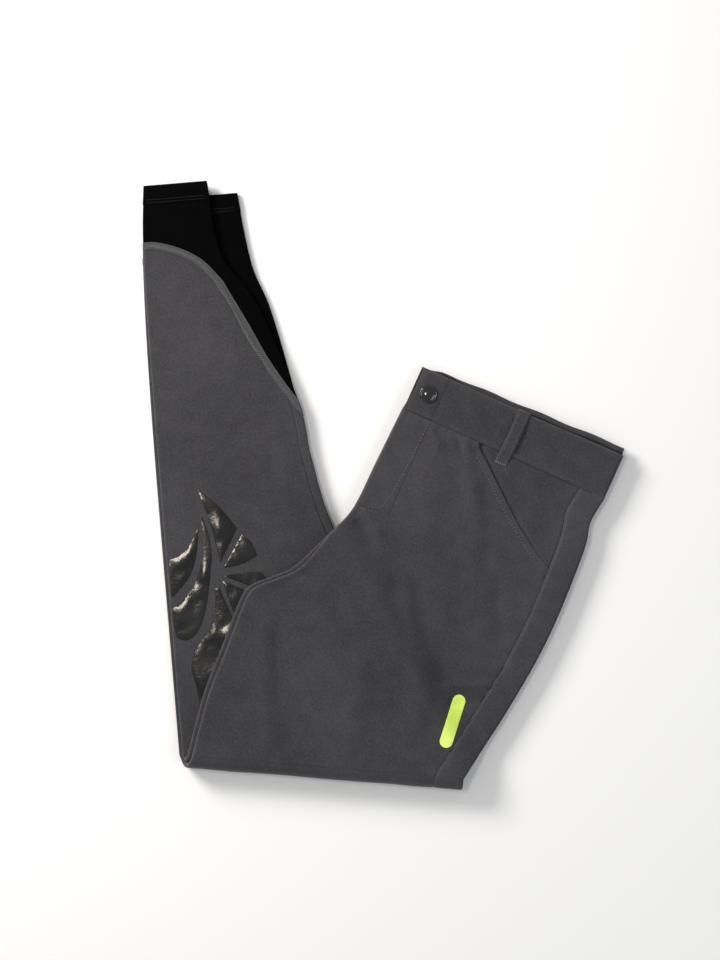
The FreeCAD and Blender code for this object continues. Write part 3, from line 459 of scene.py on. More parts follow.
cloth_wall, highlight_spread = 0.8, 1.5
half_gap_thigh, half_gap_shin = 2.2, 1.3
seam_inset = 26
fly_depth, pocket_low = 105, -86
rim_columns, overlap_column = 4, 32
thigh_rows = 130
fly_row = round(thigh_rows * 0.27)
crease_corner = (-48, -403)
waist_crease_end = (crease_corner[0] + knee_span * math.cos(crease_tilt),
                    crease_corner[1] + knee_span * math.sin(crease_tilt))
thigh_left = edge([
    (0, 0), (-2, -60), (-3.8, -111), (-14, -143), (-27, -186), (-43.5, -206), (-60, -223),
    (-64, -240), (-61, -294), (-58.4, -341), crease_corner])
thigh_right = edge([
    (220, 0), (217, -28), (223, -59), (226, -150),
    (waist_crease_end[0] + 0.62 * (226 - waist_crease_end[0]), -234), waist_crease_end])
pocket_mouth = edge([
    (84, 0), (86.5, -6), (98, -15), (121, -34), (150, -57), (178, -76), (197, pocket_low)])


def crease_line(x):
    """The knee crease's height at x, in the waistband's frame."""
    return crease_corner[1] + (x - crease_corner[0]) * math.tan(crease_tilt)


def front_seam(y):
    """The front panel's outer edge: the pocket mouth, then the side seam."""
    return pocket_mouth(y) if y > pocket_low else thigh_right(y) - seam_inset


def ripple(point, seed, size=1.0):
    """The slow unevenness of cloth that has been laid out by hand, in mm."""
    far, near, fine = (
        noise.noise(Vector((point.x / length, point.y / length, seed + apart)))
        for length, apart in ((95, 0), (38, 7), (13, 13)))
    return size * (1.1 * far + 0.55 * near + 0.12 * fine)


def folds(x, y, soft_folds):
    """The height of named folds, each (start, end, half width, height), in one flat frame."""
    total = 0.0
    here = Vector((x, y))
    for start, end, width, height in soft_folds:
        run = Vector(end) - Vector(start)
        t = (here - Vector(start)).dot(run) / run.length_squared
        if -0.2 < t < 1.2:
            t = between(t, 0.0, 1.0)
            off = (here - Vector(start) - run * t).length
            taper = math.sqrt(max(math.sin(math.pi * t), 0.0))
            total += height * taper * math.exp(-(off / width) ** 2)
    return total


def pucker(place, closeness, drift):
    """The uneven little gathers along a seam."""
    return math.sin(place * closeness + 2 * noise.noise(Vector(drift)))


front_folds = [
    ((62, 4), (132, -96), 9, 0.9), ((38, -28), (86, -120), 14, 0.7),
    ((104, -34), (150, -128), 8, -0.6), ((66, -150), (112, -215), 7, 0.8),
    ((84, -152), (124, -206), 7, -0.7), ((20, -120), (66, -168), 9, 0.8),
    ((-20, -330), (44, -366), 9, 0.7), ((-40, -250), (22, -372), 8, 0.9),
    ((-26, -246), (40, -360), 7, -0.8), ((196, -214), (150, -236), 5, 1.0),
    ((200, -226), (160, -254), 5, -0.8), ((206, -196), (158, -206), 6, 0.8),
    ((4, -112), (34, -124), 4, 1.1), ((2, -122), (30, -134), 4, -0.9),
    ((-24, -196), (20, -214), 7, 0.9), ((-46, -232), (10, -238), 8, 0.8),
    ((30, -6), (52, -24), 4, 0.8), ((60, -3), (76, -22), 4, -0.7),
    ((110, -180), (150, -300), 13, 0.9), ((60, -230), (96, -340), 12, 0.8),
    ((150, -110), (188, -180), 8, -0.7), ((8, -300), (90, -352), 9, -0.6),
    ((120, -288), (176, -306), 7, 0.7),
]
front_fold_size, slider_place = 2.2, (16, -13)


def rounded(steps=rim_columns):
    """Columns round one soft edge: insets in radii, and turns towards the other panel."""
    turns = [math.pi / 2 * k / steps for k in range(steps)]
    return [(1 - math.cos(a), 1 - math.sin(a)) for a in turns]


def flat_columns(count, pull):
    """A rounded inner edge, then flat cloth that starts in a radius and ends pulled in."""
    columns = [(0.0, inset, turn, 0.0) for inset, turn in rounded()]
    return columns + [(k / count, 1 - pull * k / count, 0.0, 0.0) for k in range(count)]


def front_columns(count):
    """Across a front panel: a rounded inner edge, flat cloth, and a seam that sinks a little."""
    return flat_columns(count, 1) + [(0.994, 0.0, 0.12, 0.0), (1.0, 0.0, 0.42, 0.0)]


def back_columns(count):
    """Across a back panel: the same, then round the outer fold to the side seam on top."""
    columns = flat_columns(count, 2)
    for k in range(11):
        a = math.pi * k / 10
        columns.append((1.0, math.sin(a) - 1, 1 - math.cos(a), 0.0))
    columns += [(1.0, -1.0, 2.0, k / 6) for k in range(1, 6)]
    return columns + [(1.0, -1.0, 1.9, 0.965), (1.0, -1.0, 1.6, 1.0)]


def across(column, left, right, radius, inset):
    """A column's place between two edges."""
    share, edge_radii, _, strip = column
    return left + (right - left) * share + edge_radii * radius - strip * (inset - radius)


class Layer:
    """One of the four layers: its distances from the knee axis, and which way its partner lies."""

    def __init__(self, side, face, thigh_radius, shin_radius, partner, seed):
        self.side, self.face = side, face
        self.thigh_radius, self.shin_radius = thigh_radius, shin_radius
        self.partner, self.seed = partner, seed
        self.columns = front_columns(86) if face == "front" else back_columns(66)
        self.last = len(self.columns) - 1
        self.left_shift = 0 if side == "left" else -5
        self.fly_column = overlap_column if (side, face) == ("left", "front") else None

    def thigh_level(self, column):
        """A column's distance above the knee axis on the thigh."""
        return self.thigh_radius + self.partner * column[2] * half_gap_thigh

    def shin_level(self, column):
        """A column's distance below the knee axis on the lower leg."""
        return self.shin_radius + self.partner * column[2] * half_gap_shin

    def thigh_x(self, i, y):
        """A column's place across the thigh.  On the fly's layer one column is its hinge."""
        left = thigh_left(y) + self.left_shift * smooth((-y - 130) / 60)
        right = front_seam(y) if self.face == "front" else thigh_right(y)
        if self.fly_column is None or i < rim_columns:
            return across(self.columns[i], left, right, half_gap_thigh, seam_inset)
        if i <= self.fly_column:
            start = across(self.columns[rim_columns], left, right, half_gap_thigh, seam_inset)
            share = self.fly_column - rim_columns
            return start + (fly_width - start) * (i - rim_columns) / share
        done = (i - self.fly_column) / (self.last - self.fly_column)
        return fly_width + (right - fly_width) * done

    def thigh_place(self, i, j):
        """A corner's (x, y) on the thigh, with one row along the foot of the fly."""
        x = 80.0
        for _ in range(6):
            if j <= fly_row:
                y = -fly_depth * j / fly_row
            else:
                run = crease_line(x) + fly_depth
                y = -fly_depth + run * (j - fly_row) / (thigh_rows - fly_row)
            x = self.thigh_x(i, y)
        return x, crease_line(x) if j == thigh_rows else y

    def thigh(self, i, j):
        """A corner of the thigh's cloth: its point in mm and its place in the cut pattern."""
        column = self.columns[i]
        x, y = self.thigh_place(i, j)
        point = on_waist(x, y)
        left, right = thigh_left(y), thigh_right(y)
        calm = smooth((point - knee_origin).dot(knee_away) / 22) * smooth((right - x) / 10 + 0.15)
        calm *= smooth((x - left) / 12 + 0.2)
        wave = ripple(point, self.seed)
        if self.fly_column:
            wave += front_fold_size * folds(x, y, front_folds)
            if y > pocket_low:
                wave += 0.7 * math.exp(-((front_seam(y) - x) / 5) ** 2)
            off_x, off_y = x - slider_place[0], y - slider_place[1]
            wave += math.exp(-(off_x / 9) ** 2 - (off_y / 10) ** 2)
            wave += 0.3 * pucker(x, 0.72, (x / 18, 0, 3)) * math.exp(y / 7)
            if y < -90:
                to_seam = abs(right - seam_inset - x)
                wave += 0.28 * pucker(y, 0.6, (0, y / 20, 5)) * math.exp(-to_seam / 7)
            wave -= 1.3 * math.exp(-(y / 1.5) ** 2)
        else:
            wave *= 0.6
        wave = between(wave, -1.5, 3.0)
        if column[3] > 0:
            wave = 0.45 * wave + 0.25 * math.sin(y * 0.35 + x * 0.2)
        z = knee_level + self.thigh_level(column) - thigh_fall(point) + wave * calm
        u = x + column[2] * half_gap_thigh
        return Vector((point.x, point.y, z)), (u * MM, y * MM)


layers = {
    "left_front": Layer("left", "front", 12.1, 10.1, -1, 1.5),
    "left_back": Layer("left", "back", 7.7, 7.5, 1, 11.5),
    "right_back": Layer("right", "back", 5.5, 4.5, -1, 21.5),
    "right_front": Layer("right", "front", 1.1, 1.35, 1, 31.5),
}


def panel_highlight(layer):
    """Painted highlight: the nap drawn pale along the edges and the side seam."""
    def edge_light(i, j):
        near_edge = math.exp(-min(i, layer.last - i) / highlight_spread)
        return max(near_edge, 0.7 * math.exp(-j / highlight_spread))

    return edge_light


fly_tuck, tuck_depth = 2, 0.15


def tucked_thigh(layer):
    """The thigh's cloth, which runs on for a few millimetres just under the fly overlap."""
    def place(i, j):
        point, cut = layer.thigh(i, j)
        if layer.fly_column and i < layer.fly_column and j < fly_row:
            point.z -= tuck_depth
        return point, cut

    return place


def twill_piece(name, bm, body, node, wall=cloth_wall):
    """A piece cut from the shell's twill, in place of one CAD node."""
    return piece(name, bm, twill, body, twill_slot, [node], wall)


for name, layer in layers.items():
    opens = layer.fly_column
    panel = laid_grid(
        layer.last, thigh_rows, tucked_thigh(layer), panel_highlight(layer),
        (lambda i, j: i < opens - fly_tuck and j < fly_row - fly_tuck) if opens else None)
    layer.panel = twill_piece(name + "_thigh", panel, "hips", name + "_panel")

fly_layer = layers["left_front"]
overlap = laid_grid(
    fly_layer.last, thigh_rows, fly_layer.thigh, panel_highlight(fly_layer),
    lambda i, j: not (i < fly_layer.fly_column and j < fly_row))
fly_front = twill_piece("fly_overlap_cloth", overlap, "fly_flap", "fly_overlap")


# ---------------------------------------------------------------- Lower legs
# Each lower leg is a front and a back of the same twill, cut off along a curve
# over the calf, where the jersey sock is sewn on.
waist_turn, lowest_cloth = math.radians(24.3), 0.45
crease_slope = math.tan(-crease_tilt + waist_turn + shin_lean)
shin_rows = 120


class Leg:
    """The plan of one lower leg, from the crease up to its hem, in the lower leg's frame."""

    def __init__(self, side, length, cuff, left_shift):
        self.side, self.length, self.body = side, length, side + "_lower_leg"
        self.left = edge([
            (left_shift, -60), (left_shift, 0.1 * length), (left_shift, 0.6 * length),
            (2 + left_shift / 2, 0.88 * length), (8, length)])
        self.right = edge([
            (276.3, -45.2), (223, 81), shin_shoulder, (152, 0.5 * length), (144, 0.6 * length),
            (0.5 * (149 + cuff), 0.78 * length), (cuff + 9, 0.87 * length), (cuff, length)])
        inner, outer = length - 66, length - 233
        fall = inner - outer
        seam = [
            (-20, inner - 2), (10, inner + 6), (51, inner - 0.06 * fall), (76, inner - 0.24 * fall),
            (104, inner - 0.61 * fall), (145, outer), (171, outer - 18)]
        self.seam = edge([(y, x) for x, y in seam])


legs = {"left": Leg("left", 555, 99, -3.5), "right": Leg("right", 569, 70, 0)}
shin_folds = [
    ((60, 40), (40, 420), 16, 0.7), ((100, 120), (86, 330), 12, -0.5),
    ((26, 200), (30, 460), 10, 0.5), ((128, 200), (120, 350), 9, 0.8),
    ((20, 330), (70, 300), 7, 0.5), ((12, 260), (60, 246), 6, 0.5),
]


def shin_inset(y):
    """The side seam nears the outer edge on its way up the calf."""
    return seam_inset - 17 * smooth(y / 190)


def shin_place(layer, i, t):
    """A corner's (x, y) on the lower leg, a share t of the way from the crease to the calf seam."""
    leg = legs[layer.side]
    x = 60.0
    for _ in range(8):
        start = -x * crease_slope
        y = start + (leg.seam(x) - start) * t
        right = leg.right(y)
        if layer.face == "front":
            right -= shin_inset(y)
        if layer.fly_column and i >= rim_columns:
            left = leg.left(y) + half_gap_shin
            x = left + (right - left) * ((i - rim_columns) / (layer.last - rim_columns))
        else:
            x = across(layer.columns[i], leg.left(y), right, half_gap_shin, shin_inset(y))
    return x, y


def shin_cloth(layer):
    """The lower leg's cloth, with its folds on the layer that shows."""
    leg = legs[layer.side]

    def place(i, j):
        x, y = shin_place(layer, i, j / shin_rows)
        point = on_shin(x, y)
        from_right, from_left = (leg.right(y) - x) / 12 + 0.1, (x - leg.left(y)) / 12 + 0.1
        calm = smooth(j / 8) * smooth(from_right) * smooth(from_left)
        wave = ripple(point, layer.seed + 3, 0.35)
        if layer is layers["right_front"]:
            wave = between(wave + folds(x, y, shin_folds), -0.3, 1.0)
        z = knee_level - layer.shin_level(layer.columns[i]) + wave * calm
        return Vector((point.x, point.y, max(z, lowest_cloth))), (x * MM, y * MM)

    return place


for name, layer in layers.items():
    shin = laid_grid(layer.last, shin_rows, shin_cloth(layer), panel_highlight(layer))
    layer.shin = twill_piece(
        name + "_shin", shin, legs[layer.side].body, f"{layer.side}_shin_{layer.face}")


# ---------------------------------------------------------------- Knee creases
# The same four layers where they turn round the fold at the knees, one inside
# the other.  Each turn bends with its own knee as the lower leg swings out.
crease_rows, turn_margin = 18, 0.1


def crease_cloth(layer):
    """Half a turn round the knee axis, from the end of the thigh to the start of the shin."""
    def place(i, j):
        turn = smooth(j / crease_rows)
        column = layer.columns[i]
        x, y = layer.thigh_place(i, thigh_rows)
        top = (on_waist(x, y) - knee_origin).dot(knee_along)
        low = (on_shin(*shin_place(layer, i, 0.0)) - knee_origin).dot(knee_along)
        radius = layer.thigh_level(column)
        radius += (layer.shin_level(column) - radius) * turn
        along = top + (low - top) * turn
        bow = 0.6 * math.sin(math.pi * turn) * noise.noise(Vector((along / 40, 0, layer.seed)))
        out = (radius + bow) * math.sin(math.pi * turn)
        point = knee_origin + knee_along * along - knee_away * out
        z = knee_level + radius * math.cos(math.pi * turn)
        cut = (x * MM, (y - radius * math.pi * turn) * MM)
        return Vector((point.x, point.y, max(z, lowest_cloth))), cut

    return place


def crease_highlight(i, j):
    """Painted highlight: the nap drawn pale along the outside of the crease."""
    return 0.8 * math.exp(-((j / crease_rows - 0.35) / 0.2) ** 2)


for name, layer in layers.items():
    turn = laid_grid(layer.last, crease_rows, crease_cloth(layer), crease_highlight)
    layer.turn = piece(
        name + "_knee_turn", turn, twill, None, twill_slot, [layer.side + "_knee_crease"],
        cloth_wall)
    top_reach, low_reach = (2.2, 1.35) if layer.partner < 0 else (0.05, 0.05)
    high = knee_level + layer.thigh_radius - top_reach - turn_margin
    low = max(knee_level - layer.shin_radius + low_reach + turn_margin, 0.5)
    start, end = ((knee_origin.x * MM, knee_origin.y * MM, z * MM) for z in (high, low))
    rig.blend(layer.turn, "hips", legs[layer.side].body, start=start, end=end)


# ---------------------------------------------------------------- Pocket facings
# A facing of the same twill closes each slanted front pocket behind its mouth,
# and is caught in the waistband and the side seam.
# A darker, bluer copy of the shell twill: its darker ground is painted shade in the sunk facing, and its bluer raised
# colour a painted bluish highlight.
pocket_twill = cloth("pocket_twill", (0.024, 0.0228, 0.0255), (0.070, 0.069, 0.077), mottle=0.6)
facing_columns, facing_rows = 40, 36
facing_depth, facing_tuck, facing_wall = 92, 7, 0.5
facing_folds = [
    ((122, -14), (188, -13), 9, -0.4), ((150, -40), (172, -56), 12, 0.9),
    ((132, -26), (186, -34), 6, 0.6), ((100, -6), (118, -12), 5, -0.8),
]


def facing_place(i, j):
    """A corner of the left facing: tucked under the mouth, then level with the thigh's cloth."""
    y = -facing_depth * j / facing_rows
    right = thigh_right(y) - seam_inset
    left = min(pocket_mouth(max(y, pocket_low)) - facing_tuck, right - 2)
    x = left + (right - left) * i / facing_columns
    point = on_waist(x, y)
    base = fly_layer.thigh_radius + knee_level - thigh_fall(point)
    clear = smooth((x - left - facing_tuck) / 9)
    sunk = clear - 1.15
    sunk -= 0.9 * smooth((x - right + 2.5) / 2.5) + 1.2 * math.exp(-(y / 1.5) ** 2)
    wave = 1.4 * folds(x, y, facing_folds) * clear * smooth((right - x) / 8)
    wave += 0.35 * ripple(point, 41.5) * clear
    return Vector((point.x, point.y, base + sunk + wave)), (x * MM, y * MM)


facing = laid_grid(
    facing_columns, facing_rows, facing_place,
    # painted highlight along the facing's edge at the side seam
    lambda i, j: math.exp(-(facing_columns - i) / highlight_spread))
left_facing = piece(
    "left_pocket_facing_cloth", facing, pocket_twill, "hips", twill_slot, ["left_pocket_facing"],
    facing_wall)


# ---------------------------------------------------------------- Inner cloth
# Hidden pieces that are cut flat: the other facing, pocket bags of thin poplin,
# fly shield, zip tapes, satin care label and the flat belt loops in the fold.
def sliced(bm, spacing):
    """Cuts a flat patch into squares of about that spacing, in mm."""
    for c, normal in enumerate(((1, 0, 0), (0, 1, 0))):
        low, high = (limit(v.co[c] for v in bm.verts) for limit in (min, max))
        count = max(int((high - low) / (spacing * MM)), 1)
        for k in range(1, count):
            place = [0, 0, 0]
            place[c] = low + (high - low) * k / count
            bmesh.ops.bisect_plane(
                bm, geom=bm.verts[:] + bm.edges[:] + bm.faces[:], plane_co=place,
                plane_no=normal, dist=1e-7)
    pattern = bm.loops.layers.uv.new("cut")
    # an empty layer: flat pieces get no painted edge highlight
    bm.verts.layers.float.new("edge_wear")
    for part in bm.faces:
        for loop in part.loops:
            from_waist = loop.vert.co - waist_origin * MM
            loop[pattern].uv = (from_waist.dot(waist_across), from_waist.dot(waist_up))
    return bm


def cut_patch(node, spacing):
    """The outline of a CAD node's top face, cut into small squares so that it can lie on cloth."""
    bm = bmesh.new()
    bm.from_mesh(frame["nodes"][node].data)
    bmesh.ops.remove_doubles(bm, verts=bm.verts, dist=1e-6)
    bm.normal_update()
    bmesh.ops.delete(bm, geom=[f for f in bm.faces if f.normal.z < 0.9], context="FACES")
    bmesh.ops.dissolve_limit(bm, angle_limit=0.01, verts=bm.verts, edges=bm.edges)
    return sliced(bm, spacing)


def relaid(node, material, slot, thick, seed, wave=0.2, spacing=4):
    """A flat piece laid again as cloth, at the middle of its own depth with a slow ripple."""
    low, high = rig.box(node)
    level = (low.z + high.z) / 2 / MM
    bm = cut_patch(node, spacing)
    for corner in bm.verts:
        point = corner.co / MM
        corner.co.z = (level + ripple(point, seed, wave)) * MM
    body = frame["nodes"][node]["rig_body"]
    return piece(node + "_cloth", bm, material, body, slot, [node], thick)


poplin = cloth("pocket_poplin", (0.012, 0.012, 0.014), (0.022, 0.022, 0.026), 900, 0.4, 0.4, 0.1)
tape_weave = cloth(
    "zip_tape_weave", (0.014, 0.014, 0.015), (0.03, 0.03, 0.032), 300, 1.0, 0.4, 0.1)
satin = cloth("label_satin", (0.42, 0.42, 0.42), (0.6, 0.6, 0.6), 800, 0.3, 0.5, 0.4)
bags = [relaid(side + "_pocket_bag", poplin, "pocketing", 0.4, seed, 0.3, 6)
        for side, seed in (("left", 51.5), ("right", 52.5))]
right_facing = relaid("right_pocket_facing", pocket_twill, twill_slot, 0.6, 53.5)
shield = relaid("fly_shield", twill, twill_slot, 0.25, 54.5, 0.03)
tapes = [relaid(side + "_zip_tape", tape_weave, "zip_tape", 0.22, 55.5, 0.0, 3) for side in legs]
label = relaid("care_label", satin, "label_satin", 0.2, 56.5, 0.05)
flat_loops = [
    relaid(node, twill, twill_slot, 0.7, 57.5, 0.08, 3)
    for node in ("right_front_loop", "left_side_loop", "right_back_loop", "centre_back_loop")]


# ---------------------------------------------------------------- Waistband
# A 45 mm band of doubled twill, folded over at the top and lined inside.  The
# back stands a little higher than the front, and the band turns at both sides.
lining = cloth("band_lining", (0.006, 0.006, 0.008), (0.016, 0.016, 0.02), 420, 1.0, 0.6, 0.25)
band_height, band_rows, band_side = 45, 26, 218
tab_start, tab_slant, tab_corner = 0.6, 6.4, 5.0
lining_inset, lining_wall = 1.2, 0.5
no_back = -99
band_folds = [
    ((52, 30), (88, 8), 6, 0.8), ((70, 34), (100, 16), 5, -0.6), ((128, 28), (170, 12), 8, 0.6),
    ((180, 30), (214, 14), 6, 0.7), ((40, 6), (60, 16), 4, -0.5), ((94, 10), (102, 36), 4, 0.6),
    ((196, 12), (216, 30), 5, -0.5), ((121, 4), (140, 14), 5, -0.5),
]


def band_run(runs):
    """The band seen from above its edge: straight runs (from, to, level), joined by half turns."""
    path = []
    for run, after in zip(runs, runs[1:] + [None]):
        start, stop, level = run
        way = 1 if stop > start else -1
        steps = max(int(abs(stop - start) / 4), 2)
        path += [(start + (stop - start) * n / steps, level) for n in range(steps + 1)]
        if after and (after[1] - after[0]) * way < 0:
            rise = after[2] - level
            for n in range(1, 10):
                a = math.pi * n / 10
                bulge = way * abs(rise) / 2 * math.sin(a)
                path.append((stop + bulge, level + rise * (1 - math.cos(a)) / 2))
    return path


def peek(x, on_back):
    """How far the band's top stands above its height: a little on the front, more on the back."""
    if not on_back:
        return 1.5 * smooth((x - 120) / 90)
    rise = (2.5 + 0.030 * x) * smooth((x - 8) / 14)
    return rise + 0.6 * math.sin(x / 9) * smooth((x - 20) / 20)


def band_cloth(name, node, runs, body, seed, back_level):
    """A length of the band, or of its lining, which is set in and has its right side below."""
    inside, slant = "lining" in node, "tab" in node
    grow, sign = (lining_inset, -1) if inside else (0.0, 1)
    path = band_run(runs)
    length = [0.0]
    for a, b in zip(path, path[1:]):
        length.append(length[-1] + math.hypot(b[0] - a[0], b[1] - a[1]))

    def place(i, j):
        x, level = path[i]
        on_back = abs(level - back_level) <= 0.6
        top = band_height - grow + peek(x, on_back)
        if inside and on_back:
            top -= 3.2 * smooth((x - 34) / 26)
        share = j / band_rows
        y = grow + (top - grow) * share
        rim = min(y - grow, top - y)
        turned = 0.0 if inside else 1.1 * (1 - smooth(rim / 1.6))
        if slant:
            corner = max(y - (band_height - tab_corner), 0)
            inset = tab_slant * y / band_height
            inset += tab_corner - math.sqrt(max(tab_corner**2 - corner**2, 0))
            turned = max(turned, 1 - smooth((x - tab_start) / 1.6))
            x = x + (inset - 0.6) * (1 - smooth((x - tab_start) / 24))
        point = on_waist(x, y)
        wave = 0.5 * ripple(point, seed) + 1.3 * folds(x, y, band_folds)
        wave = wave * smooth(rim / 8) * smooth((band_side - x) / 12)
        wave *= 0.25 if inside else 1.0
        facing_up = sign if abs(level - runs[0][2]) < 0.2 or len(runs) == 1 else -sign
        z = level - facing_up * turned + max(wave, -0.6)
        return Vector((point.x, point.y, z)), (length[i] * MM, y * MM)

    band = laid_grid(
        # painted highlight along the band's top and bottom edges
        len(path) - 1, band_rows, place, lambda i, j: math.exp(-min(j, band_rows - j) / 1.2))
    if inside:
        return piece(name, band, lining, body, "lining", [node], lining_wall)
    return twill_piece(name, band, body, node)


bands = {row[1]: band_cloth(*row) for row in (
    ("left_waistband_cloth", "left_waistband",
     [(28, 31, 14.15), (31, 216.5, 14.3), (216.5, 0.8, 8.0)], "hips", 61.5, 8.0),
    ("waistband_tab_cloth", "waistband_tab", [(tab_start, 31, 14.3)], "fly_flap", 61.5, no_back),
    ("right_waistband_cloth", "right_waistband",
     [(36, 7, 11.3), (7, 217, 2.0), (217, 0.8, 5.8)], "hips", 62.5, 5.8),
    ("left_band_lining_cloth", "left_waistband_lining",
     [(33, 215, 13.35), (215, 2, 8.95)], "hips", 63.5, 8.95),
    ("tab_lining_cloth", "waistband_tab_lining", [(5, 31, 13.35)], "fly_flap", 63.5, no_back),
    ("right_band_lining_cloth", "right_waistband_lining",
     [(35, 8, 10.3), (8, 216, 2.95), (216, 2, 4.8)], "hips", 64.5, 4.8))}


# ---------------------------------------------------------------- Belt loop
# A strap of doubled twill, 13 mm wide, bar-tacked under the waistband and
# folded over its top edge, with a row of stitches along each side.
def tree_of(*objs):
    """The finished surface of some pieces, walls included, to lay trims and stitches on."""
    bpy.context.view_layer.update()
    depsgraph = bpy.context.evaluated_depsgraph_get()
    surface = bmesh.new()
    for obj in objs:
        surface.from_object(obj, depsgraph)
    tree = BVHTree.FromBMesh(surface)
    surface.free()
    return tree


def height_on(tree, point, missing, from_below=False):
    """The height in mm of a surface over a point of the plan."""
    start = Vector((point.x * MM, point.y * MM, -0.05 if from_below else 0.1))
    hit = tree.ray_cast(start, Vector((0, 0, 1 if from_below else -1)))[0]
    return missing if hit is None else hit.z / MM


loop_left, loop_width, loop_low, loop_high = 105.5, 13.0, -12.0, 46.2
loop_columns, loop_rows, loop_turn = 8, 44, 43
cloth_top = tree_of(fly_layer.panel, left_facing, bands["left_waistband"])


def loop_centre(y):
    """The strap's height along its length: flat at the tack, then arched over the band."""
    middle = on_waist(loop_left + loop_width / 2, min(y, loop_turn))
    arch = 1.1 * math.sin(math.pi * between((y + 4) / 48, 0.0, 1.0))
    return height_on(cloth_top, middle, 14.3) + 0.65 + arch


def loop_place(i, j):
    """A corner of the strap, its sides rolled down and its end folded over the band's top."""
    y = loop_low + (loop_high - loop_low) * j / loop_rows
    x = loop_left + loop_width * i / loop_columns
    height = loop_centre(y) - (0.35 if i in (0, loop_columns) else 0.0)
    height -= 2.6 * smooth((y - 44.4) / 1.8)
    point = on_waist(x + 0.5 * math.sin(y / 15), y)
    return Vector((point.x, point.y, height)), (x * MM, y * MM)


strap = laid_grid(
    loop_columns, loop_rows, loop_place,
    # painted highlight along the strap's rolled sides and tacked end, and faintly all over
    lambda i, j: 0.9 if i in (0, loop_columns) or j < 2 else 0.1)
belt_loop = twill_piece("front_belt_loop", strap, "hips", "left_front_loop", 0.9)


# ---------------------------------------------------------------- Jersey socks
# The foot of each lower leg is a tube of fine black jersey.  A grey coverstitch
# joins it to the calf, and its hem is turned up 19 mm and sewn twice.
jersey = cloth(
    "sock_jersey", (0.0006, 0.0006, 0.0008), (0.0024, 0.0024, 0.003), 700, 1.2, 0.6, 0.0,
    specular=0.04, edge_wear=0.25)
cover = cloth("coverstitch", (0.045, 0.044, 0.046), (0.12, 0.119, 0.122), 150, 2.6, 0.5, 0.2)
hem_depth, seam_half, sock_seed, lowest_jersey = 19, 3.5, 71.5, 0.35
sock_levels = {"left": (4.6, 1.3), "right": (10.4, 6.9)}
sock_folds = [
    ((20, 530), (40, 400), 7, 0.6), ((52, 545), (92, 380), 6, 0.7),
    ((60, 470), (124, 352), 6, -0.6), ((66, 560), (76, 470), 4, 0.7),
    ((30, 500), (90, 470), 6, 0.5),
]


def tube_columns(count):
    """Once round a flattened tube: share of the width, insets in radii, and turns from its top."""
    quarter = [math.pi / 2 * k / 4 for k in range(4)]
    ring = [(0.0, 1 - math.cos(a), 1 - math.sin(a)) for a in quarter]
    ring += [(k / count, 1 - 2 * k / count, 0.0) for k in range(count)]
    ring += [(1.0, math.sin(a) - 1, 1 - math.cos(a)) for a in [math.pi * k / 8 for k in range(8)]]
    ring += [(1 - k / count, 2 * k / count - 1, 2.0) for k in range(count)]
    ring += [(0.0, 1 - math.sin(a), 1 + math.cos(a)) for a in quarter]
    return ring + [ring[0]]


ring = tube_columns(30)


def tube(leg, name, low, high, rows, grow, material, slot, node, thick):
    """A length of tube between two curves across the leg, each a function of x."""
    top_level, bottom_level = sock_levels[leg.side]
    middle, half_gap = (top_level + bottom_level) / 2, (top_level - bottom_level) / 2

    def place(i, j):
        share, edge_radii, turn = ring[i]
        x = 50.0
        for _ in range(8):
            y = low(x) + (high(x) - low(x)) * j / rows
            radius = half_gap * (1 - 0.35 * smooth((y - leg.length + 45) / 45))
            left, right = leg.left(y) - grow, leg.right(y) + grow
            x = left + (right - left) * share + edge_radii * radius
        point = on_shin(x, y)
        wave = ripple(point, sock_seed, 0.28)
        wave += folds(x, y, sock_folds) if leg is legs["right"] else 0.0
        calm = smooth((right - x) / 8) * smooth((x - left) / 8)
        z = middle + (radius + grow) * (1 - turn) + between(wave, -0.5, 0.6) * calm * (1 - turn)
        u = x if i <= len(ring) / 2 else 2 * right - x
        return Vector((point.x, point.y, max(z, lowest_jersey))), (u * MM, y * MM)

    bm = laid_grid(
        # painted highlight along both ends of the tube
        len(ring) - 1, rows, place, lambda i, j: 0.8 * math.exp(-min(j, rows - j) / 1.3))
    bmesh.ops.remove_doubles(bm, verts=bm.verts, dist=1e-6)
    return piece(name, bm, material, leg.body, slot, [node], thick)


def seam_reach(leg, x):
    """Half the coverstitch's width, measured along the leg, which grows where the seam slants."""
    slope = (leg.seam(x + 2) - leg.seam(x - 2)) / 4
    return seam_half * min(math.hypot(1, slope), 2.3)


socks = {}
for side, leg in legs.items():
    socks[side] = tube(
        leg, side + "_sock_tube", lambda x: leg.seam(x) - 2, lambda x: leg.length - 3, 70, 0.0,
        jersey, "sock_jersey", side + "_sock", 0.7)
    socks[side + "_hem"] = tube(
        leg, side + "_sock_hem_band", lambda x: leg.length - hem_depth, lambda x: leg.length, 10,
        0.5, jersey, "sock_jersey", side + "_sock_hem", 0.6)
    socks[side + "_seam"] = tube(
        leg, side + "_calf_coverstitch", lambda x: leg.seam(x) - seam_reach(leg, x),
        lambda x: leg.seam(x) + seam_reach(leg, x), 6, 0.75, cover, "seam_thread",
        side + "_calf_seam", 0.35)


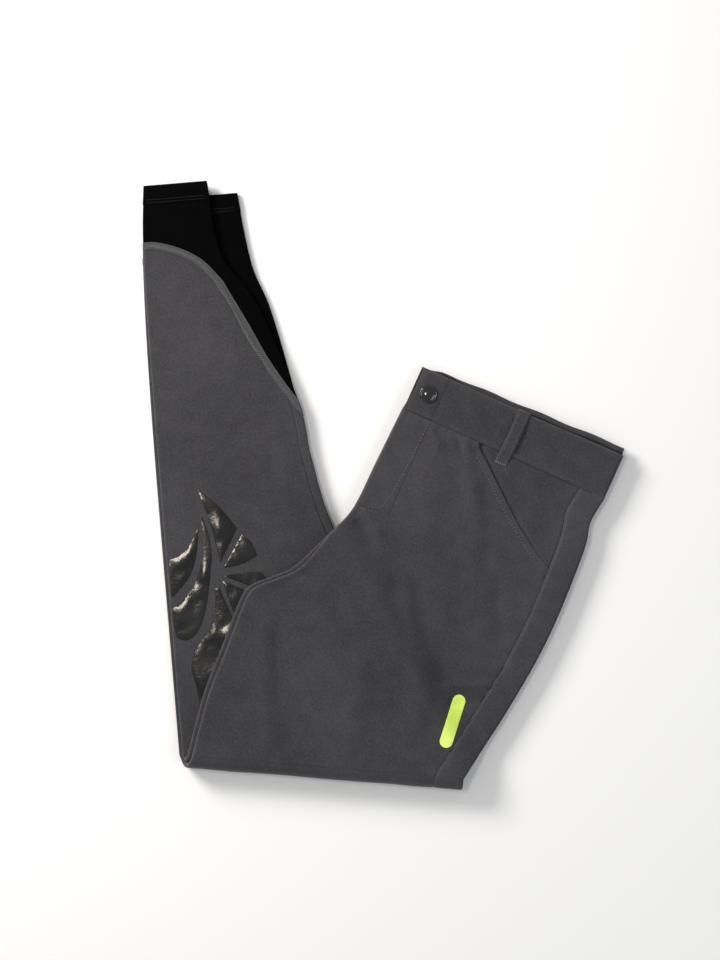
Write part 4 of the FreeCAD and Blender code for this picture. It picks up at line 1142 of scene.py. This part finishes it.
# ---------------------------------------------------------------- Knee grip
# Patches of glossy black silicone are printed on the inside of each knee, fanned
# round a hub with bare cloth between them, to hold the leg against the saddle.
def surface_group():
    """Fine grain and smears for hard or printed surfaces, from Object coordinates."""
    group, given, out = new_effect("fine_surface", {
        "Ground": (0.05, 0.05, 0.05, 1), "Rubbed": (0.1, 0.1, 0.1, 1), "Grain scale": 400,
        "Smooth": 0.15, "Rough": 0.35})
    place = add_node(group, "TexCoord").outputs["Object"]
    grain = add_node(group, "TexNoise", Vector=place, Scale=given["Grain scale"], Detail=3)
    smear = add_node(group, "TexNoise", Vector=place, Scale=45, Detail=4).outputs["Fac"]
    patch = add_node(group, "MapRange", Value=smear, From_Min=0.42, From_Max=0.68)
    rough = add_node(group, "MapRange", Value=smear, To_Min=given["Smooth"], To_Max=given["Rough"])
    end_effect(
        group, out, patch.outputs["Result"], (given["Ground"], given["Rubbed"]),
        rough.outputs["Result"], grain.outputs["Fac"])
    return group


fine_surface = surface_group()


def hard(name, ground, rubbed, grain=400, smoothest=0.15, roughest=0.35, metal=0.0, coat=0.0,
         bump_depth=0.00005):
    """One printed, moulded or metal finish."""
    values = {"Ground": ground, "Rubbed": rubbed, "Grain scale": grain, "Smooth": smoothest,
              "Rough": roughest}
    return effect_material(
        name, fine_surface, values, 0.5, bump_depth, Metallic=metal, Coat_Weight=coat,
        Coat_Roughness=0.08)[0]


silicone = hard(
    "silicone_print", (0.0035, 0.0033, 0.003), (0.009, 0.0085, 0.008), 260, 0.10, 0.30, 0, 0.2,
    0.0003)
# each patch is a closed outline of smooth runs in the lower leg's frame, which meet at corners:
# a run ends where the next one starts
patches = {
    "blade": [[(37, 262), (50, 251), (61, 238)], [(72, 222), (66, 211)],
              [(53, 189), (50, 209), (46, 230)]],
    "fan": [[(56, 183)], [(77, 215), (86, 205)], [(90, 193), (75, 186)]],
    "side": [[(56, 175), (79, 177)], [(93, 176), (98, 168)], [(97, 158), (77, 165)]],
    "spoke": [[(54, 170)], [(94, 150), (84, 134)], [(68, 122), (60, 146)]],
    "long": [[(50, 164), (64, 118), (62, 98), (46, 70)],
             [(20, 40), (20, 63), (16, 86), (22, 104), (37, 123), (44, 142)], [(46, 163)]],
    "heart": [[(38, 236), (43, 219), (45, 199), (42, 179), (39, 162), (34, 142), (27, 126),
               (18, 116), (9, 115), (3, 121)],
              [(1.6, 146), (14, 155), (25, 168), (33, 186), (37, 206)]],
    "corner": [[(34, 226), (26, 211), (15, 200)], [(2.4, 195)],
               [(2.0, 158), (13, 168), (23, 181), (30, 200)]],
}
rim_film, full_film, rim_width, lowest_print = 0.06, 0.24, 0.5, 0.16


def printed_patches(tree, from_below):
    """All patches of one knee, laid on the cloth with a soft rim; the print on top has swollen."""
    bm = bmesh.new()
    lift, shift, missing = (-1, -7, 0.5) if from_below else (1, 0, 10.9)
    for runs in patches.values():
        patch = bmesh.new()
        outline = [point for run, after in zip(runs, runs[1:] + runs[:1])
                   for point in smooth_run(run + after[:1])]
        rim = [on_shin(x, y + shift) for x, y in outline]
        patch.faces.new([patch.verts.new(point * MM) for point in rim])
        bmesh.ops.inset_region(
            patch, faces=patch.faces[:], thickness=rim_width * MM, use_boundary=True,
            use_even_offset=True)
        sliced(patch, 3.0)
        for corner in patch.verts:
            point = corner.co / MM
            rest = height_on(tree, point, missing, from_below)
            film = rim_film if corner.is_boundary else full_film
            swell = 0.0
            if not from_below:
                away = min((point.xy - along.xy).length for along in rim)
                swell = abs(1.6 * noise.noise(Vector((point.x / 14, point.y / 20, 81.5))))
                swell *= smooth(away / 6)
            corner.co.z = max(rest + lift * (film + swell), lowest_print) * MM
        bmesh.ops.recalc_face_normals(patch, faces=patch.faces)
        scrap = bpy.data.meshes.new("scrap")
        patch.to_mesh(scrap)
        patch.free()
        bm.from_mesh(scrap)
        bpy.data.meshes.remove(scrap)
    return bm


for side, from_below, film_wall in (("right", False, 0.25), ("left", True, 0.2)):
    knee = tree_of(layers[side + "_front"].shin)
    piece(
        side + "_knee_print", printed_patches(knee, from_below), silicone, legs[side].body,
        "silicone_print", [side + "_knee_grip"], film_wall)


# ---------------------------------------------------------------- Reflective bar
# A plain rounded bar of lime reflective film is heat-pressed on the left thigh,
# over the side seam.
lime = hard(
    "reflective_film", (0.70, 0.92, 0.13), (0.82, 1.0, 0.2), 2600, 0.3, 0.55, 0, 0.2, 0.00006)
thigh_top = tree_of(fly_layer.panel, layers["left_back"].panel)
bar = cut_patch("reflective_bar", 2.5)
for corner in bar.verts:
    rest = height_on(thigh_top, corner.co / MM, 24.5)
    corner.co.z = (rest + (0.08 if corner.is_boundary else 0.2)) * MM
piece("reflective_thigh_bar", bar, lime, "hips", "reflective_film", ["reflective_bar"], 0.12)


# ---------------------------------------------------------------- Snap fastener
# A lacquered metal cap with a domed face and a rolled rim closes the tab; its
# socket, stud and flange are brass pressings.
lacquer = hard(
    "black_lacquer", (0.006, 0.0065, 0.006), (0.016, 0.017, 0.016), 900, 0.07, 0.2, 0.2, 1.0,
    0.00002)
brass = hard("snap_brass", (0.36, 0.25, 0.1), (0.5, 0.38, 0.18), 1200, 0.18, 0.4, 1.0)
snap_centre = sum(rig.box("snap_cap"), Vector()) / 2
# half of the cap's outline as (radius, height), from the top of the dome to the rivet's foot
cap_profile = [
    (0, 17.65), (2.5, 17.5), (4.6, 17.1), (6.2, 16.55), (6.9, 16.2), (7.25, 16.02), (7.55, 16.18),
    (8.0, 16.35), (8.45, 16.2), (8.68, 15.8), (8.6, 15.3), (8.2, 15.0), (2.0, 14.9), (1.6, 14.7),
    (1.6, 13.2), (0, 13.2)]
cap = bmesh.new()
around = [cap.verts.new((r * MM, 0, z * MM)) for r, z in cap_profile]
outline = [cap.edges.new(pair) for pair in zip(around, around[1:])]
bmesh.ops.spin(
    cap, geom=around + outline, cent=(0, 0, 0), axis=(0, 0, 1), angle=2 * math.pi, steps=64,
    use_merge=True)
bmesh.ops.remove_doubles(cap, verts=cap.verts, dist=1e-7)
bmesh.ops.recalc_face_normals(cap, faces=cap.faces)
bmesh.ops.translate(cap, verts=cap.verts, vec=(snap_centre.x, snap_centre.y, 0))
piece("snap_cap_dome", cap, lacquer, "fly_flap", "lacquered_metal", ["snap_cap"])


def refinish(material, *nodes):
    """Gives moulded or pressed parts their finish."""
    for node in nodes:
        frame["nodes"][node].data.materials.clear()
        frame["nodes"][node].data.materials.append(material)


refinish(brass, "snap_socket", "snap_stud", "snap_flange")


# ---------------------------------------------------------------- Fly zip
# A zip with moulded plastic teeth and stops, and a metal slider and pull, which
# runs under the fly overlap.
zip_plastic = hard("zip_plastic", (0.008, 0.008, 0.009), (0.02, 0.02, 0.022), 1500, 0.3, 0.5)
gunmetal = hard("slider_metal", (0.03, 0.03, 0.032), (0.09, 0.09, 0.09), 1400, 0.15, 0.35, 0.9)
refinish(
    zip_plastic, "left_zip_teeth", "right_zip_teeth", "left_top_stop", "right_top_stop",
    "zip_bottom_stop")
refinish(gunmetal, "zip_slider", "zip_pull")


# ---------------------------------------------------------------- Stitching
# Every visible seam is sewn with grey thread: the fly's curve, the pocket
# mouth, the side seam, the belt loop, the band, and the socks' seams and hems.
# Continuous dark lines along the band's seam and the foot of the fly are painted shadow.
thread_grey = cloth("seam_thread", (0.17, 0.17, 0.175), (0.3, 0.3, 0.31), 900, 1.0, 0.5, 0.3)
# Dark thread for real stitches, also laid as continuous lines of painted shadow along the band's seam and the foot of
# the fly.
thread_and_seam_shadow = cloth("dark_thread", (0.018, 0.018, 0.02), (0.05, 0.05, 0.055), 900, 1.0, 0.5, 0.3)
hem_thread = cloth("hem_thread", (0.02, 0.02, 0.023), (0.05, 0.05, 0.055), 900, 1.0, 0.5, 0.3)


def sew(name, rows, on, tree, body, material=thread_grey, pitch=2.6, share=0.62, radius=0.2,
        missing=14.5):
    """Rows of stitches laid on cloth.  Each row is a run of points in one of the flat frames."""
    bm = bmesh.new()
    pattern = bm.loops.layers.uv.new("cut")
    # an empty layer: stitches get no painted edge highlight
    bm.verts.layers.float.new("edge_wear")
    for row in rows:
        dense = [Vector(p) for p in smooth_run(row, 24)] + [Vector(row[-1])]
        steps = [0.0]
        for a, b in zip(dense, dense[1:]):
            steps.append(steps[-1] + (b - a).length)
        for k in range(int(steps[-1] / pitch)):
            ends = []
            for at in (k * pitch, (k + share) * pitch):
                point = on(*(float(np.interp(at, steps, [p[c] for p in dense])) for c in (0, 1)))
                point.z = height_on(tree, point, missing) + radius * 0.55
                ends.append(point)
            run = ends[1] - ends[0]
            stitch = Matrix.Translation((ends[0] + ends[1]) / 2 * MM)
            stitch = stitch @ run.to_track_quat("X", "Z").to_matrix().to_4x4()
            size = (run.length / 2 * MM, radius * MM, radius * 0.8 * MM, 1)
            bmesh.ops.create_icosphere(
                bm, subdivisions=1, radius=1.0, matrix=stitch @ Matrix.Diagonal(size))
    for part in bm.faces:
        for loop in part.loops:
            loop[pattern].uv = (loop.vert.co.x, loop.vert.co.y)
    return piece(name, bm, material, body, "seam_thread")


front_top = tree_of(fly_layer.panel, left_facing, layers["left_back"].panel, fly_front)


def sew_front(name, rows, material=thread_grey, pitch=3.4, share=0.45, radius=0.34, body="hips"):
    """Stitches on the front of the hips, in the waistband's frame."""
    sew(name, rows, on_waist, front_top, body, material, pitch, share, radius)


def beside(curve, offset, low, high, count=9):
    """Points along an edge, moved sideways into the cloth."""
    points = []
    for k in range(count):
        y = low + (high - low) * k / (count - 1)
        slope = curve(y + 0.5) - curve(y - 0.5)
        size = math.hypot(1, slope)
        points.append((curve(y) - offset / size, y + offset * slope / size))
    return points


def bartack(start, end, apart, count=4):
    """Close rows side by side, each moved on from the last."""
    return [[(x + apart[0] * k, y + apart[1] * k) for x, y in (start, end)] for k in range(count)]


def on_table(x, y):
    """A point of the plan itself."""
    return Vector((x, y, 0))


sew_front(
    "fly_stitches", [[(30.3, -2), (29, -24), (27.3, -60), (25, -84), (21.3, -98), (16, -103.6)]],
    body="fly_flap")
sew_front("fly_end_stitches", [[(14.5, -106.4), (8, -107.6), (2.8, -107.8), (-1.2, -109)]])
# A continuous dark line at the foot of the fly: painted shade of the pucker there.
sew_front(
    "fly_end_seam", [[(15, -105.4), (7, -106.2), (2, -106.0), (-1.6, -107.4)]], thread_and_seam_shadow, 2.5,
    1.1, 0.4)
# Continuous dark lines along the tab's and the band's seams: their stitching drawn dark as painted shadow of the
# seam's groove.
for name, places, body in (
        ("tab_seam", (1.5, 9, 17, 24, 30.4), "fly_flap"),
        ("waist_seam", range(32, 216, 8), "hips")):
    sew_front(name, [[(x, -0.5) for x in places]], thread_and_seam_shadow, 3.0, 1.1, 0.5, body)
sew_front("pocket_stitches", [beside(pocket_mouth, 6, -8, -80)], radius=0.32)
side_seam = beside(lambda y: thigh_right(y) - seam_inset, -2.0, -4, -300, 40)
sew_front("side_seam_stitches", [side_seam], pitch=3.0, share=0.62, radius=0.15)
loop_rows_of_stitches = [
    [(loop_left + side, -11), (loop_left + side + 0.2, 16), (loop_left + side, 44)]
    for side in (2.6, 10.4)]
loop_tack = bartack((loop_left + 0.6, -11.3), (loop_left + 12.4, -11.3), (0, 0.35))
sew("loop_stitches", loop_rows_of_stitches + loop_tack, on_waist, tree_of(belt_loop), "hips",
    radius=0.21, pitch=2.2)
sew("loop_thread_tail", [[(122.4, 19.4), (121.9, 16), (122.9, 12.5), (124.2, 9)]], on_table,
    front_top, "hips", pitch=1.2, share=1.1)
sew_front(
    "pocket_bartack", bartack((190, -77), (198, -84), (0.4, -0.5)), thread_and_seam_shadow, 1.2, 0.9, 0.2)


def across_leg(leg, curve, count=14, inset=3):
    """Points over a lower leg from its inner to its outer edge, along a curve."""
    left, right = leg.left(curve(0)) + inset, 140.0
    for _ in range(6):
        right = leg.right(curve(right)) - inset
    places = [left + (right - left) * k / (count - 1) for k in range(count)]
    return [(x, curve(x)) for x in places]


right_leg = legs["right"]
calf_top = tree_of(socks["right_seam"], socks["right"], layers["right_front"].shin)
seam_rows = [
    across_leg(right_leg, lambda x: right_leg.seam(x) + share * seam_reach(right_leg, x), 40)
    for share in (-0.72, 0.68)]
ladder = []
steps = across_leg(right_leg, right_leg.seam, 120)
for a, b in zip(steps, steps[1:]):
    out = Vector((a[1] - b[1], b[0] - a[0])).normalized() * 2.0
    ladder.append([tuple(Vector(a) - out), tuple(Vector(b) + out)])
knot = [[(-120, 115.6), (-117.4, 113.2)], [(-119.4, 114), (-116.6, 114.4)]]
for name, rows, on, thread, pitch, share, radius in (
        ("calf_stitches", seam_rows, on_shin, thread_and_seam_shadow, 2.4, 0.66, 0.24),
        ("calf_ladder", ladder, on_shin, thread_grey, 3.95, 1.0, 0.18),
        ("calf_knot", knot, on_table, thread_and_seam_shadow, 2.4, 0.95, 0.5)):
    sew(name, rows, on, calf_top, right_leg.body, thread, pitch, share, radius, 10.9)

hem_curves = {
    "right": lambda up: across_leg(right_leg, lambda x: right_leg.length - hem_depth + up),
    "left": lambda up: [(x, legs["left"].length - hem_depth + up) for x in (74, 98)],
}
for side, missing in (("right", 10.6), ("left", 5.0)):
    sew(side + "_hem_stitches", [hem_curves[side](up) for up in (1.6, 4.6)], on_shin,
        tree_of(socks[side + "_hem"]), legs[side].body, hem_thread, 2.2, 0.66, 0.18, missing)


# ---------------------------------------------------------------- Cut sizes
# Each sheet's cut size and area come from its own pattern, which is kept on its
# mesh as the map named cut.
thinnest_strip = 0.0101


def cut_size(obj):
    """Width, length and area of a piece's cut pattern, in metres."""
    mesh = obj.data
    marks = np.array([loop.uv for loop in mesh.uv_layers["cut"].data])
    area = 0.0
    for part in mesh.polygons:
        u, v = marks[list(part.loop_indices)].T
        area += abs(np.dot(u, np.roll(v, -1)) - np.dot(v, np.roll(u, -1))) / 2
    wide, long = (max(float(size), thinnest_strip) for size in np.ptp(marks, axis=0))
    return wide, long, float(area)


def declare(obj, held, with_pieces=()):
    """Says that a piece is a sheet, with the size it was cut to."""
    wide, long, area = cut_size(obj)
    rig.sheet(
        obj, flat=(wide, long), held=held, area=min(area, wide * long), with_pieces=with_pieces)


for layer in layers.values():
    declare(layer.panel, "folded", [layer.turn])
    declare(layer.shin, "folded")
for cloth_piece in (
        fly_front, left_facing, right_facing, shield, label, *bands.values(), belt_loop, *bags,
        *tapes, *flat_loops):
    declare(cloth_piece, "laid")
for side in legs:
    declare(socks[side], "folded", [socks[side + "_seam"]])
    declare(socks[side + "_hem"], "folded")


# ---------------------------------------------------------------- Floor, light and camera
# A plain pale floor, a large soft light from the upper left with a weaker one
# opposite, a small warm one above, and a camera that looks straight down.
bpy.context.view_layer.update()
floor_mesh = bmesh.new()
bmesh.ops.create_grid(floor_mesh, x_segments=8, y_segments=8, size=4.0)
bmesh.ops.translate(floor_mesh, verts=floor_mesh.verts, vec=(0, 0, -0.0004))
floor_data = bpy.data.meshes.new("floor")
floor_mesh.to_mesh(floor_data)
floor_mesh.free()
paper = bpy.data.materials.new("pale_floor")
paper.use_nodes = True
paper_shader = paper.node_tree.nodes["Principled BSDF"].inputs
paper_shader["Base Color"].default_value = (0.93, 0.93, 0.93, 1)
paper_shader["Roughness"].default_value = 0.9
floor_data.materials.append(paper)
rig.stage(new_object("floor", floor_data))

world = bpy.data.worlds.new("studio")
bpy.context.scene.world = world
world.use_nodes = True
sky = world.node_tree.nodes["Background"].inputs
sky["Color"].default_value = (0.93, 0.96, 1.0, 1)
sky["Strength"].default_value = 0.37


def soft_light(name, place, target, size, power, colour):
    """A rectangular lamp of soft light, turned towards its target."""
    lamp = bpy.data.lights.new(name, "AREA")
    lamp.shape = "RECTANGLE"
    lamp.size, lamp.size_y = size
    lamp.energy = power
    lamp.color = colour
    obj = new_object(name, lamp)
    obj.location = place
    obj.rotation_euler = (Vector(target) - Vector(place)).to_track_quat("-Z", "Y").to_euler()


soft_light("window", (-1.5, 1.1, 0.95), (0, 0, 0), (0.9, 0.6), 54, (1.0, 0.97, 0.93))
soft_light("fill", (1.4, -0.9, 1.6), (0, 0, 0), (1.6, 1.2), 9, (0.9, 0.95, 1.0))
soft_light("overhead", (-0.68, 0.24, 2.3), (-0.1, 0, 0), (0.42, 0.3), 10, (1.0, 0.9, 0.76))

view = bpy.data.cameras.new("camera")
view.lens = 112.5
view.sensor_width = 36
camera = new_object("camera", view)
camera.location = (-0.023, 0.0055, 3.0)
bpy.context.scene.camera = camera
bpy.context.scene.view_settings.view_transform = "Standard"

full_box = [list(corner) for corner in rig.bounds()]
with open("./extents.json", "w") as sizes:
    json.dump({"cad": cad_box, "visual": full_box}, sizes)
